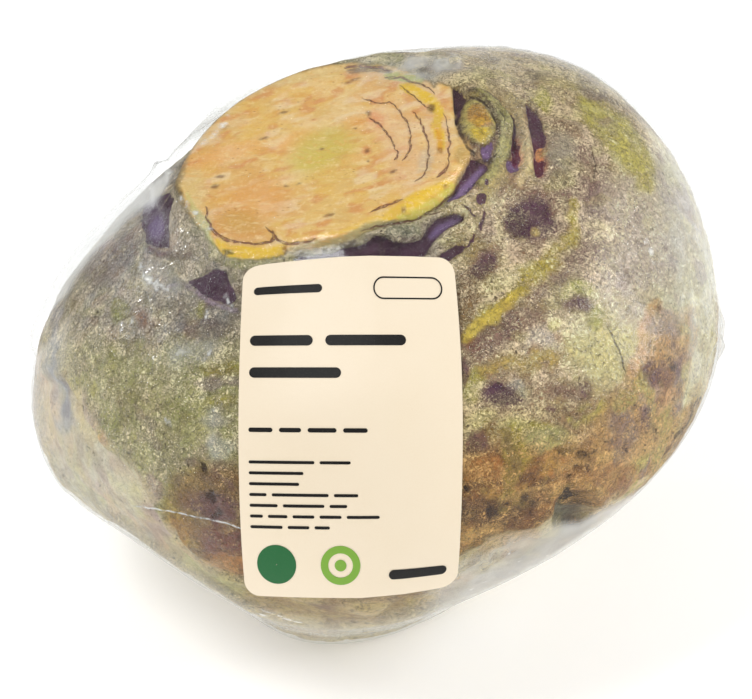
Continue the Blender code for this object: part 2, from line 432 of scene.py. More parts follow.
# dark and pale shapes of the leaf bases round the cut: corners, and how far they are pressed in, mm
WEDGE = [(454, 85), (461, 86), (468, 95), (464.5, 102), (460.5, 112), (459.5, 121), (456.5, 118), (454.5, 105)]
SCAR = [(461, 108), (469, 98.7), (480, 99.5), (490, 111), (495.5, 123), (495.5, 132), (490, 144), (480, 150), (469, 144), (461, 132), (459.5, 120)]
SCAR_TOP = [(468, 111), (475, 106), (484, 107.8), (488, 115.5), (489.5, 123), (486, 127.5), (477, 129), (470.5, 124.5), (466.7, 118)]
SCAR_LOW = [(470.5, 131), (479, 130), (487, 132), (488, 138), (480, 146), (472, 140)]
SCAR_FOOT = [(479, 151), (486, 147), (492, 144), (491, 158), (485, 159)]
CRESCENT = [(470, 90), (484, 98), (495, 113), (498, 131), (495, 150), (490, 166), (477, 184), (485, 188), (495, 184), (504, 167), (511.5, 150), (514.5, 135), (513, 120), (504, 105), (492, 95), (473, 88)]
SLIT = [(502, 102.5), (511.5, 107), (518, 118), (517.5, 132), (515, 148), (512, 154), (513.5, 138), (512.5, 123), (508, 112.5)]
RED_SLIT = [(516.5, 138), (521.5, 147), (521.5, 160), (518.5, 167), (513, 161), (514, 150)]
LILAC = [(506, 163), (514, 160), (520, 164), (518, 171), (510, 172)]
OUTER = [(528, 103), (534, 107.5), (543, 124.5), (548, 136.6), (546.5, 147), (543, 158), (537, 155), (532.5, 144), (530, 129), (529, 115)]
OUTER_RED = [(535, 157), (547.5, 157), (543.5, 168.5), (539, 177), (535.5, 172)]
BAND = [(471, 158), (489, 163), (486, 172), (477, 183), (469, 193), (457, 199.5), (446, 201.5), (451.5, 194.5), (460, 182), (467, 169)]
GUTTER = [(292, 260), (306, 256), (330, 250.5), (346, 246), (364, 243.5), (376, 236.5), (388, 236.5), (395, 242), (407, 243), (420, 238), (430, 225), (442, 218), (456, 214.5), (466, 214.5), (463, 221), (449, 228), (439, 238), (430, 247), (422, 258), (400, 266), (350, 266), (310, 264)]
HOOK = [(439, 257), (451, 249.5), (465, 247), (461, 254), (451, 260.5), (441, 263)]


def circle_through(a, b, c):
    ax, ay, bx, by, cx, cy = *a, *b, *c
    d = 2 * (ax * (by - cy) + bx * (cy - ay) + cx * (ay - by))
    ux = ((ax**2 + ay**2) * (by - cy) + (bx**2 + by**2) * (cy - ay) + (cx**2 + cy**2) * (ay - by)) / d
    uy = ((ax**2 + ay**2) * (cx - bx) + (bx**2 + by**2) * (ax - cx) + (cx**2 + cy**2) * (bx - ax)) / d
    r = sqrt((ax - ux) ** 2 + (ay - uy) ** 2)
    mid = unit([bx - ux, by - uy])
    reach = min(np.dot(unit([p[0] - ux, p[1] - uy]), mid) for p in (a, c))
    return (ux, uy), r, mid, reach


def arc_mask(q, arc, widen=1.0):
    (cx, cy), r, mid, reach = circle_through(*arc[:3])
    d = q - np.array([cx, cy])
    length = np.linalg.norm(d, axis=1)
    along = (d @ mid) / np.maximum(length, 1e-6)
    taper = np.sqrt(np.clip((along - reach) / (1 - reach), 0, 1))
    width = np.maximum(arc[3] * widen * taper, 1e-4)
    return (1 - ease(np.abs(length - r) / width, 0.3, 1.6)) * (taper > 0.02)


# ---------------------------------------------------------------- the root's relief
def root_relief(P, q, front, up):
    """Millimetres to add to the radius: lumps, furrows, leaf scars, pits and the film-bridged hollows."""
    on_cut = ease(P @ unit(CROWN_TILT) - np.dot(CENTRE, unit(CROWN_TILT)), 40, 43)
    face = crown_mask(q) * (up > 0.5) * on_cut
    skin = 1 - face
    rise = skin * (0.6 * fbm(P, 16, 3, 5) + 0.34 * fbm(P * np.array([1.0, 1.0, 1.5]), 5.0, 3, 21))
    rise -= skin * 0.34 * ridges(P * np.array([0.8, 0.8, 1.5]), 9, 31, 0.16) * ease(noise(P, 14, 3), -0.2, 0.4)
    rise += skin * 0.14 * noise(P * np.array([1.0, 1.0, 1.6]), 1.6, 41)
    # the lumpy left shoulder
    lumpy = front * np.maximum(blob(q, 178, 300, 92, 92, 0, 0.5), 0.6 * blob(q, 130, 420, 70, 90, 0, 0.5))
    rise += skin * lumpy * (0.50 * fbm(P, 7, 3, 43) - 0.42 * ridges(P, 6.5, 44, 0.22) + 0.16 * noise(P, 2.4, 45))
    shaggy = front * ease(q[:, 0], 440, 480)
    rise += skin * shaggy * (0.26 * fbm(P * np.array([0.7, 0.7, 1.3]), 3.2, 2, 46) - 0.22 * ridges(P, 5.0, 47, 0.2))
    # the knife's face: a slight dome, and shallow marks from the blade along one way
    rise += face * (0.12 * fbm(P, 9, 2, 51) + 0.05 * noise(P * np.array([0.25, 1.4, 1.0]), 1.6, 52))
    for arc in CROWN_LINES:
        rise -= front * 0.38 * arc_mask(q, arc, 1.8)
    for arc in SKIN_LINES:
        rise -= front * 0.5 * arc_mask(q, arc, 1.8)
    # leaf bases round the crown, right of the cut: grooves, the oval scar and the crescents outside it
    for corners, depth in ((WEDGE, 1.4), (SCAR_FOOT, 0.6), (SLIT, 1.3), (RED_SLIT, 1.2), (LILAC, 0.5), (OUTER, 1.0),
                           (OUTER_RED, 1.2), (BAND, 0.8), (GUTTER, 1.3), (HOOK, 0.8)):
        rise -= front * depth * patch(q, corners, 3.0)
    rise += front * (0.45 * patch(q, CRESCENT, 4.0) + 0.35 * patch(q, SCAR, 3.0) - 0.35 * patch(q, SCAR_TOP, 3.0))
    cut = [
        ([(180, 192, 3), (192, 216, 4), (204, 240, 5), (222, 261, 4)], 0.7),
        ([(360, 232, 2), (400, 223, 2.5), (440, 206, 2.5), (458, 188, 2)], 0.6),
        ([(163, 462, 3), (162, 490, 4), (168, 522, 4), (178, 545, 4), (202, 568, 4), (244, 580, 3)], 0.9),
        ([(594, 176, 3), (592, 205, 4), (585, 235, 4), (570, 262, 3)], 0.5),
        ([(552, 438, 3), (566, 470, 5), (570, 492, 5)], 0.5),
    ]
    for points, depth in cut:
        rise -= front * depth * stroke(q, points, soft=0.7)
    bump = [
        ([(519, 112, 3), (524, 138, 4), (526, 154, 5), (524, 172, 5), (516, 184, 4)], 0.6),
        ([(505, 172, 3), (488, 196, 4), (466, 210, 4), (440, 212, 3)], 0.5),
        ([(478, 215, 4), (460, 240, 4), (452, 246, 3)], 0.4),
        ([(302, 252, 3), (330, 241, 4), (360, 233, 4), (400, 229, 4), (430, 220, 3)], 0.45),
        ([(205, 222, 5), (216, 244, 6), (238, 256, 6), (264, 258, 6), (288, 252, 4)], 0.4),
        ([(150, 252, 3), (165, 257, 4), (182, 258, 4), (196, 253, 2)], 0.3),
        ([(170, 287, 2), (196, 292, 3), (214, 304, 3), (238, 311, 3)], 0.3),
    ]
    for points, height in bump:
        rise += front * height * stroke(q, points, soft=0.8)
    rise -= front * 0.45 * blob(q, 533, 222, 26, 21, 0, 0.5)
    for x, y, s, depth in ((583, 456, 5, 1.0), (578, 470, 4, 0.7), (571, 480, 3, 0.6), (200, 469, 5.5, 0.7),
                           (207, 496, 6, 0.6), (216, 512, 5, 0.4), (538, 232, 4, -0.4), (656, 376, 9, 0.8),
                           (466, 487, 4, 0.7), (505, 398, 14, 0.35), (673, 368, 5, 0.4), (77, 409, 3, 0.5)):
        rise -= front * depth * blob(q, x, y, s, s * 1.15, 20, 0.7)
    # the deep dent low on the right, and the underside that draws in beneath the film
    rise -= front * 4.2 * blob(q, 577, 516, 17, 20, -12, 0.6)
    rise -= front * 3.0 * ease(below_right(q), 0, 22)
    rise -= front * 2.2 * ease(below_left(q), 0, 20)
    rise -= 1.0 * stroke(q, LOWER_LEFT_DRAW, soft=0.9)
    return rise


def crown_mask(q):
    margin = patch(q, [(436, 84), (452, 86), (454.5, 104), (456, 120), (460, 134), (470, 150), (469, 158), (458, 180), (447, 196), (430, 190), (436, 130)], 2.0)
    return np.maximum.reduce([blob(q, 317, 157, 143, 89, 17, 0.02), blob(q, 246, 228, 44, 27, -8, 0.06), margin])


# x, y, half width of where root and film draw in low on the left
LOWER_LEFT_DRAW = [(70, 506, 12), (110, 536, 20), (156, 562, 22), (200, 596, 16), (236, 620, 10)]
RIGHT_EDGE = [(330, 640), (400, 596), (440, 570), (460, 553), (483, 542), (510, 528), (537, 525), (550, 516), (580, 516), (600, 504),
              (627, 490), (642, 482), (660, 471), (676, 456), (692, 434), (712, 408), (730, 380)]
LEFT_EDGE = [(20, 360), (62, 372), (78, 402), (100, 440), (132, 468), (150, 500), (163, 522), (177, 545),
             (201, 568), (243, 581), (300, 598), (360, 612), (420, 650)]


def below(q, edge):
    x, y = np.array(edge, float).T
    return q[:, 1] - np.interp(q[:, 0], x, y)


def below_right(q):
    return below(q, RIGHT_EDGE)


def below_left(q):
    return below(q, LEFT_EDGE)


# ---------------------------------------------------------------- the root's paint
FLESH = rgb(226, 186, 110)
YELLOW = rgb(230, 190, 58)
PURPLE = rgb(52, 28, 66)
CREAM = rgb(214, 203, 168)


def paint_root(P, q, front, up):
    """Base colour, and four covers: net-like scurf, purple, cut flesh and dark spots; the dark cover also holds painted
    shadow in the dent low on the right and painted shade along the lower edge of the brown zone.
    """
    n = len(P)
    height = P @ unit(CROWN_TILT) - np.dot(CENTRE, unit(CROWN_TILT))
    warp = np.stack([fbm(P, 7, 2, 61), fbm(P, 7, 2, 62)], 1)
    fray = np.stack([fbm(P, 2.6, 2, 63), fbm(P, 2.6, 2, 64)], 1)
    w = q + 7.0 * warp + 4.5 * fray  # rough-edged marks
    s = q + 2.2 * warp + 1.6 * fray  # nearly clean-edged marks

    # all round: cream below, orange-brown under the girth, olive, grey and purple above
    z = P[:, 2] + 11 * fbm(P, 30, 3, 71) + 5 * fbm(P, 8, 3, 72)
    coat = Coat(n, rgb(206, 190, 146))
    coat.over(0.5 * ease(fbm(P, 14, 3, 73), 0.0, 0.35), rgb(190, 165, 120))
    coat.over(0.4 * ease(fbm(P, 9, 2, 74), 0.1, 0.4), rgb(214, 205, 168))
    girth = ease(z, 34, 56)
    coat.over(0.85 * girth, rgb(180, 142, 98))
    coat.over(0.65 * girth * ease(fbm(P, 10, 3, 75), 0, 0.3), rgb(206, 178, 122))
    coat.over(0.6 * girth * ease(fbm(P, 13, 3, 151), 0.05, 0.3), rgb(168, 160, 92))
    coat.over(0.5 * girth * ease(fbm(P, 8, 3, 76), 0.1, 0.35), rgb(134, 96, 66))
    coat.over(0.45 * girth * ease(fbm(P, 9, 3, 152), 0.12, 0.35), rgb(142, 116, 116))
    top = ease(z, 54, 76)
    coat.over(top, rgb(156, 145, 116))
    coat.over(0.75 * top * ease(fbm(P, 15, 3, 77), 0.02, 0.28), rgb(150, 150, 76))
    coat.over(0.55 * top * ease(fbm(P, 19, 3, 78), 0.06, 0.3), rgb(190, 186, 152))
    coat.over(0.6 * top * ease(fbm(P, 12, 3, 79), 0.05, 0.3), rgb(122, 102, 104))
    coat.over(0.5 * top * ease(fbm(P, 8, 2, 80), 0.22, 0.4), rgb(168, 128, 84))
    scurf = 0.12 + 0.30 * ease(z, 40, 60) + 0.34 * top + 0.30 * fbm(P, 10, 3, 81)
    purple = top * (0.5 * ease(fbm(P, 11, 3, 82), 0.16, 0.42)) + 0.25 * ease(fbm(P, 9, 3, 83), 0.28, 0.5) * ease(z, 44, 60)
    dark = 0.25 * ease(fbm(P, 5, 2, 84), 0.35, 0.6) * ease(z, 42, 58)
    # a dark collar all round the cut
    near_cut = ease(height, 34, 46)
    purple = np.maximum(purple, 0.8 * near_cut * ease(fbm(P, 9, 3, 85), -0.05, 0.2))

    def lay(mask, colour, how_much=1.0):
        coat.over(front * mask * how_much, rgb(*colour))

    def set_cover(cover, mask, value):
        m = front * mask
        return cover + m * (value - cover)

    # ---- clear the front for the hand-placed marks
    x, y = w[:, 0], w[:, 1]
    left = 1 - ease(x, 225, 300)
    purple = set_cover(purple, np.ones(n), 0.0)
    dark = set_cover(dark, np.ones(n), 0.0)

    # left flank, speckled grey-olive above and green below
    lay(left, (158, 149, 126))
    lay(left * ease(fbm(P, 11, 3, 91), 0.05, 0.3), (168, 160, 134), 0.4)
    lay(left * ease(fbm(P, 9, 3, 92), 0.08, 0.3), (124, 112, 94), 0.4)
    lay(left * ease(fbm(P, 8, 3, 90), 0.05, 0.3), (132, 106, 104), 0.5)
    lay(left * ease(fbm(P, 6, 3, 153), 0.08, 0.3), (146, 148, 148), 0.6)
    lay(left * ease(fbm(P, 5, 3, 154), 0.12, 0.35), (186, 176, 136), 0.6)
    lay(left * ease(fbm(P, 4, 2, 155), 0.22, 0.4) * (1 - ease(y, 340, 380)), (148, 104, 76), 0.6)
    lay(stroke(w, [(112, 280, 2), (123, 284, 4), (136, 289, 2.5)]), (96, 84, 64), 0.85)
    lay(blob(w, 107, 247, 8, 5, 20), (170, 118, 112), 0.8)
    lay(blob(w, 90, 310, 10, 7, 0), (166, 164, 88), 0.7)
    lay(left * ease(y, 315, 365), (160, 159, 102), 0.85)
    lay(left * ease(fbm(P, 7, 3, 93), 0.05, 0.35) * ease(y, 315, 365), (142, 144, 66), 0.6)
    lay(left * ease(fbm(P, 6, 3, 156), 0.05, 0.3) * ease(y, 330, 380), (186, 178, 128), 0.6)
    lay(left * ease(fbm(P, 6, 3, 157), 0.12, 0.35) * ease(y, 330, 380), (142, 126, 112), 0.6)
    lay(stroke(q, [(78, 400, 4), (96, 436, 8), (112, 462, 9)]), (206, 176, 120), 0.7)
    # right flank
    right = ease(x, 430, 470)
    lay(right, (160, 132, 106))
    lay(right * ease(fbm(P, 13, 3, 94), 0.05, 0.3) * (1 - ease(y, 360, 410)), (178, 164, 80), 0.6)
    lay(right * ease(fbm(P, 9, 3, 95), 0.1, 0.35) * (1 - ease(y, 300, 380)), (128, 100, 102), 0.65)

    # pale right edge
    lay(blob(w, 702, 285, 58, 180, 6, 0.35), (232, 228, 186), 0.95)
    lay(blob(w, 655, 225, 45, 60, 20, 0.5), (214, 202, 182), 0.85)
    lay(blob(w, 604, 345, 40, 42, 0, 0.45), (222, 214, 160), 0.9)
    lay(blob(w, 628, 250, 44, 62, 10, 0.5), (210, 198, 192), 0.85)
    lay(right * ease(x, 590, 620) * (1 - ease(y, 290, 320)) * ease(fbm(P, 6, 3, 168), 0.05, 0.3), (178, 164, 162), 0.7)
    lay(blob(w, 570, 300, 26, 24, 0, 0.6), (176, 168, 142), 0.6)
    # olive patches, upper right
    olive = stroke(w, [(586, 104, 9), (612, 126, 17), (632, 150, 17), (648, 180, 11)], soft=0.6)
    lay(olive, (190, 182, 94), 0.95)
    lay(olive * ease(fbm(P, 4, 3, 158), 0.08, 0.35), (206, 200, 148), 0.6)
    lay(olive * ease(fbm(P, 3.4, 3, 159), 0.1, 0.35), (158, 150, 74), 0.6)
    lay(blob(w, 606, 122, 9, 5, 0), (150, 122, 110), 0.6)
    lay(blob(w, 547, 101, 10, 13, 10), (184, 182, 48), 0.95)
    lay(stroke(w, [(578, 204, 5), (572, 232, 7), (556, 258, 9), (532, 282, 9), (506, 303, 9), (468, 338, 7)]), (190, 172, 72), 0.95)
    lay(blob(w, 462, 300, 24, 26, 0, 0.5), (134, 108, 66), 0.8)
    lay(blob(w, 580, 270, 20, 24, 20, 0.6), (168, 150, 146), 0.6)
    lay(blob(w, 508, 278, 20, 11, 20), (150, 140, 74), 0.75)
    lay(blob(w, 560, 178, 20, 12, 30), (168, 162, 98), 0.6)
    lay(blob(w, 583, 310, 10, 8), (176, 172, 70), 0.6)
    lay(stroke(s, [(526, 291, 3), (507, 303, 6.5), (491, 314, 8), (477, 327, 7), (465, 340, 3)], soft=0.3), (204, 182, 82), 0.95)
    lay(blob(w, 472, 346, 9, 6, 30), (128, 78, 54), 0.8)
    lay(blob(w, 540, 342, 15, 17, 0, 0.6), (202, 196, 198), 0.85)
    lay(blob(w, 577, 291, 13, 10, 0, 0.5), (174, 180, 88), 0.9)
    lay(blob(w, 592, 318, 9, 13, 0, 0.5), (180, 184, 98), 0.85)
    lay(blob(w, 555, 326, 7, 6, 0), (196, 188, 92), 0.85)
    lay(blob(w, 533, 352, 5, 6, 0), (186, 140, 112), 0.7)
    lay(blob(w, 560, 341, 6, 6, 0), (186, 140, 112), 0.6)
    lay(blob(w, 560, 153, 13, 22, 0, 0.6), (162, 157, 146), 0.75)
    lay(blob(w, 600, 84, 50, 12, -22), (142, 134, 122), 0.7)
    lay(blob(w, 512, 70, 56, 12, 0), (150, 140, 120), 0.8)
    # mid right: yellow-green and purple
    lay(blob(w, 478, 384, 11, 16), (168, 164, 56), 0.8)
    rough = ease(fbm(P, 3, 3, 164), -0.25, 0.1)
    lay(stroke(w, [(484, 371, 8), (503, 362, 10), (522, 361, 9), (548, 360, 9)], soft=0.8) * rough, (192, 168, 92), 0.9)
    lay(stroke(w, [(520, 436, 14), (556, 424, 14), (580, 414, 12), (600, 404, 7)], soft=0.8) * rough, (196, 186, 104), 0.9)
    lay(blob(w, 472, 388, 13, 14), (184, 176, 88), 0.85)
    lay(blob(w, 528, 432, 26, 12, 5), (184, 176, 76), 0.9)
    lay(blob(w, 482, 420, 15, 12), (170, 160, 96), 0.8)
    lay(blob(w, 521, 385, 9, 8), (156, 164, 168), 0.8)

    # orange-brown zone, lower right
    brown = right * ease(y + 1.15 * (x - 567), 430, 474) * ease(y + 0.12 * (x - 560), 300, 330)
    brown = np.maximum(brown, right * ease(y + 0.12 * (x - 560), 424, 456))
    lay(brown, (176, 122, 70), 0.95)
    lay(brown * (1 - ease(y, 410, 460)), (208, 174, 132), 0.8)
    lay(brown * ease(x, 620, 660), (212, 176, 126), 0.7)
    lay(brown * ease(fbm(P, 8, 3, 96), 0.0, 0.3), (214, 172, 116), 0.8)
    inner = 1 - 0.75 * ease(x, 585, 625)
    lay(brown * inner * ease(fbm(P, 7, 3, 97), 0.05, 0.27), (112, 72, 42), 0.85)
    lay(brown * inner * ease(fbm(P * np.array([0.7, 0.7, 1.4]), 3.6, 3, 131), 0.03, 0.26), (86, 58, 36), 0.7)
    lay(brown * (1 - inner) * ease(fbm(P, 5, 3, 171), 0.10, 0.3), (156, 118, 92), 0.9)
    lay(brown * (1 - inner) * ease(fbm(P, 7, 3, 172), 0.06, 0.3), (226, 200, 146), 0.9)
    lay(brown * ease(fbm(P * np.array([0.7, 0.7, 1.4]), 3.2, 3, 132), 0.10, 0.35), (222, 184, 128), 0.7)
    lay(blob(w, 490, 434, 13, 8, 10), (136, 88, 42), 0.85)
    lay(blob(w, 512, 474, 12, 12, 0), (182, 156, 64), 0.85)
    lay(blob(w, 516, 452, 13, 20, 10), (176, 160, 72), 0.8)
    lay(blob(w, 486, 468, 17, 13), (192, 128, 74), 0.8)
    lay(blob(w, 644, 440, 34, 20, 35), (208, 172, 112), 0.8)
    lay(blob(w, 604, 478, 28, 12, 20), (188, 140, 92), 0.7)
    # painted shade along the lower edge of the brown zone, where the skin turns under
    lay(blob(w, 492, 512, 36, 17, 8), (88, 64, 42), 0.85)
    lay(blob(w, 474, 490, 16, 12, 0), (104, 72, 46), 0.7)
    lay(blob(w, 536, 498, 14, 9, 0), (104, 74, 48), 0.6)
    lay(blob(w, 690, 405, 12, 26, 20), (206, 166, 116), 0.8)
    # the brown patch on the right
    tan = stroke(w, [(655, 306, 4), (654, 330, 12), (657, 360, 23), (664, 388, 27)], soft=0.35)
    lay(tan, (206, 170, 130), 0.98)
    lay(tan * ease(fbm(P, 4, 3, 160), 0.0, 0.3), (192, 144, 100), 0.6)
    lay(tan * ease(fbm(P, 2.4, 3, 161), 0.12, 0.3), (112, 80, 62), 0.75)
    lay(stroke(w, [(652, 304, 3), (644, 335, 4), (628, 378, 4)], soft=0.5), (226, 178, 136), 0.8)

    pale = patch(w, [(690, 286), (716, 286), (728, 340), (722, 388), (704, 398), (690, 404), (677, 399), (688, 372), (692, 330)], 5.0)
    lay(pale, (224, 218, 182), 0.95)
    lay(blob(w, 667, 328, 18, 12, -15), (186, 168, 164), 0.9)
    lay(blob(w, 650, 392, 13, 12, 0), (176, 150, 138), 0.7)
    brown = brown * (1 - pale)

    # crown: flesh, its streaks and its yellow
    face = crown_mask(s) * front * (up > 0.3) * ease(height, 40, 43)
    coat.over(face, FLESH)
    on = s
    a = radians(17)
    along = np.stack([(q[:, 0] * cos(a) - q[:, 1] * sin(a)) / 46, (q[:, 0] * sin(a) + q[:, 1] * cos(a)) / 9, P[:, 2] * 0], 1)
    coat.over(face * 0.45 * ease(fbm(along, 1.0, 3, 101), 0.06, 0.4), rgb(230, 174, 104))
    coat.over(face * 0.5 * ease(fbm(along, 1.3, 2, 103), 0.12, 0.45), rgb(236, 204, 158))
    coat.over(face * 0.35 * ease(fbm(P, 6, 3, 104), 0.1, 0.4), rgb(210, 174, 110))
    coat.over(face * 0.55 * ease(fbm(P, 10, 2, 141), 0.0, 0.3), rgb(236, 202, 142))
    coat.over(face * 0.45 * ease(fbm(P, 8, 2, 142), 0.08, 0.35), rgb(216, 156, 84))
    coat.over(face * 0.6 * ease(fbm(along * np.array([1.6, 1, 1]), 0.6, 2, 143), 0.18, 0.42), rgb(210, 132, 76))
    coat.over(face * 0.5 * ease(fbm(along * np.array([1.3, 1, 1]), 0.8, 2, 162), 0.12, 0.4), rgb(238, 214, 176))
    coat.over(face * 0.5 * ease(fbm(P, 4.5, 3, 163), 0.15, 0.4), rgb(226, 182, 84))
    for bx, by, rx, ry, turn, colour, amount in (
        (255, 200, 34, 20, 15, (226, 158, 84), 0.55),
        (232, 152, 42, 9, 15, (232, 170, 96), 0.6),
        (300, 140, 26, 8, 20, (234, 168, 92), 0.6),
        (352, 126, 18, 10, 25, (228, 164, 74), 0.6),
        (322, 150, 34, 21, 24, (206, 188, 86), 0.75),
        (330, 176, 30, 10, 15, (222, 184, 92), 0.5),
        (402, 150, 20, 40, 8, (229, 188, 146), 0.6),
        (380, 122, 12, 16, 0, (232, 186, 134), 0.7),
        (376, 119, 8, 7, 0, (222, 138, 92), 0.6),
        (366, 150, 5, 4, 0, (214, 136, 80), 0.7),
        (436, 130, 12, 46, 10, (226, 186, 142), 0.6),
        (425, 162, 8, 14, -12, (206, 184, 156), 0.7),
        (445, 184, 9, 9, 0, (196, 158, 96), 0.6),
        (300, 75, 80, 8, 12, (214, 188, 118), 0.5),
        (195, 188, 12, 18, 20, (216, 190, 128), 0.6),
        (239, 226, 32, 17, -12, (212, 156, 84), 0.85),
        (240, 222, 20, 10, -12, (206, 160, 76), 0.6),
        (403, 75, 17, 4, -6, (184, 188, 104), 0.7),
    ):
        coat.over(face * blob(s, bx, by, rx, ry, turn, 0.45) * amount, rgb(*colour))
    gold = np.maximum.reduce([
        patch(s, [(398, 84.5), (408, 83), (422, 87.5), (434, 95.5), (443, 107), (442, 118), (444.5, 131), (446, 145), (440, 154), (437, 149), (436.5, 138), (432.5, 126), (433.5, 108), (425, 103), (413, 94), (402, 89.5)], 1.5),
        patch(s, [(316, 237), (340, 228), (366, 219.5), (390, 209.5), (414, 194), (434, 185.5), (447, 180), (456, 187), (440, 203.5), (421, 216), (400, 220), (370, 226), (342, 232)], 2.0),
        patch(s, [(217, 238), (230, 244), (250, 246), (270, 247), (284, 245), (289.5, 249), (286, 255), (270, 260), (250, 261), (234, 259), (221, 250)], 1.5),
    ])
    coat.over(front * gold, YELLOW)
    coat.over(front * gold * 0.6 * ease(noise(P, 3.5, 105), 0.1, 0.6), rgb(214, 176, 80))
    lay(stroke(on, [(400, 217, 3), (420, 213, 5), (437, 203, 6), (452, 188, 4)]), (200, 194, 92), 0.75)
    lay(stroke(on, [(330, 231, 3), (356, 224, 4), (384, 214, 4)]), (224, 184, 104), 0.6)
    lay(stroke(on, [(190, 206, 3), (202, 221, 4), (209, 238, 4), (220, 258, 5), (242, 265, 4), (266, 265, 4), (294, 259, 3)]), (184, 186, 116), 0.9)
    lay(stroke(on, [(186, 196, 3), (196, 212, 4), (205, 220, 3)]), (206, 190, 118), 0.8)
    lay(blob(on, 231, 252, 6, 2.6, -20), (98, 84, 30), 0.9)
    lay(blob(on, 287, 250, 3, 4), (140, 92, 40), 0.8)
    lay(blob(on, 431.5, 108.5, 4, 3.5, -20), (120, 92, 20), 0.85)
    lay(stroke(on, [(438, 128, 2), (440, 140, 2.5), (440, 151, 2)]), (222, 152, 34), 0.8)
    lay(blob(on, 439.5, 151.5, 2.4, 3), (150, 96, 30), 0.8)
    lay(stroke(s, [(349, 69, 3), (368, 67.5, 3.5), (388, 71, 3)]), (104, 84, 52), 0.8)
    lay(stroke(s, [(386, 75, 2.5), (404, 76, 3.5), (421, 79, 2.5)]), (178, 186, 104), 0.85)
    lay(blob(s, 462, 155, 8, 9, 30), (184, 150, 88), 0.8)
    lay(blob(s, 440, 72, 16, 6, -25), (176, 152, 116), 0.8)
    for fx, fy, rx, ry, turn in ((216, 187, 4.2, 2, 22), (353, 80, 7.5, 1.8, 12), (322, 150, 1.6, 1.6, 0),
                                 (300, 182, 3, 1.3, 10), (286, 185, 1.8, 1.5, 0), (354, 129, 2, 1.2, -20),
                                 (368, 161, 1.6, 1.2, 0), (367, 150, 2.6, 1.6, 20), (404, 210, 2, 3, -10),
                                 (369, 114, 2.2, 2.6, 30), (221, 176, 4, 1.5, 10), (445, 187, 2.5, 1.8, 0),
                                 (262, 138, 5, 1.4, 14), (284, 112, 5, 1.2, 16), (330, 216, 5, 1.2, 12), (392, 172, 4, 1.4, 20)):
        lay(blob(s, fx, fy, rx, ry, turn, 0.5), (104, 66, 36), 0.75)
    lay(stroke(s, [(178, 200, 2), (179, 180, 3), (187, 153, 2.6), (204, 130, 2.2), (228, 107, 2), (254, 89, 2), (294, 71, 2), (338, 62.5, 2)], soft=0.7), (112, 96, 62), 0.7)
    # ropes and washes on the left
    lay(stroke(s, [(150, 250, 2), (164, 255, 4), (180, 257, 4.5), (194, 254, 2.5)]), (136, 106, 108), 0.95)
    rope = stroke(s, [(150, 250, 2), (164, 255, 4), (180, 257, 4.5), (194, 254, 2.5)], soft=0.3)
    lay(rope * ease(np.sin(1.5 * (q[:, 0] - 0.6 * q[:, 1])), -0.1, 0.6), (98, 72, 70), 0.7)
    lay(stroke(s, [(150, 254, 1), (166, 260, 1.4), (182, 262, 1.4), (194, 259, 1)]), (78, 58, 54), 0.8)
    lay(stroke(s, [(170, 287, 1.5), (184, 284, 2.5), (196, 292, 2.5), (212, 303, 3), (237, 311, 2)]), (176, 158, 172), 0.85)
    lay(stroke(s, [(176, 196, 4), (184, 216, 7), (193, 240, 6), (205, 258, 4)]), (188, 176, 138), 0.8)
    lay(blob(s, 166, 262, 16, 5, -6), (184, 168, 148), 0.5)
    # leaf bases right of the cut
    lay(stroke(w, [(470, 84, 6), (500, 92, 7), (522, 104, 6)]), (186, 168, 134), 0.85)
    lay(patch(s, CRESCENT, 1.5), (176, 172, 118), 0.98)
    lay(stroke(s, [(482, 100, 2), (496, 116, 3), (500, 136, 3), (497, 156, 3)]), (196, 194, 150), 0.8)
    lay(blob(s, 502.5, 117, 2.6, 6, 15), (132, 132, 68), 0.9)
    lay(stroke(s, [(519, 112, 4), (524, 138, 5), (526, 154, 6), (525, 170, 6), (518, 184, 4)]), (222, 202, 160), 0.95)
    lay(patch(s, SCAR, 1.2), (196, 182, 112), 0.98)
    lay(patch(s, SCAR_TOP, 1.5), (190, 138, 58), 0.95)
    lay(patch(s, SCAR_TOP, 1.5) * ease(noise(P, 1.6, 144), 0.0, 0.5), (216, 176, 104), 0.7)
    lay(patch(s, SCAR_LOW, 2.5), (230, 200, 58), 0.95)
    lay(blob(s, 479, 123, 8, 5, 0, 0.6), (220, 180, 62), 0.6)
    lay(blob(s, 486, 127, 5, 3, 0), (200, 158, 118), 0.8)
    for outline, thick in ((SCAR, 1.5), (CRESCENT, 1.3)):
        off = off_line(s, np.array(outline + outline[:1], float))[0]
        lay(1 - ease(off, thick * 0.5, thick * 1.6), (58, 34, 34), 0.8)
    lay(stroke(w, [(506, 172, 5), (490, 196, 7), (466, 209, 6), (438, 213, 5)]), (190, 172, 124), 0.9)
    lay(stroke(w, [(300, 250, 3), (330, 240, 4.5), (362, 232, 5), (400, 229, 5), (430, 219, 4)]), (164, 152, 106), 0.9)
    lay(stroke(s, [(499, 190, 2), (490, 206, 2.8), (478, 224, 2.2), (466, 238, 1.5)]), (210, 192, 152), 0.85)
    lay(stroke(s, [(510, 186, 1.5), (502, 202, 2.4), (494, 214, 1.5)]), (204, 188, 150), 0.8)
    lay(blob(w, 404, 233, 15, 5, 5), (134, 142, 120), 0.8)
    lay(blob(w, 470, 222, 14, 10, 30), (180, 164, 112), 0.8)
    lay(stroke(w, [(470, 236, 5), (455, 244, 4), (440, 250, 4)]), (172, 156, 104), 0.8)
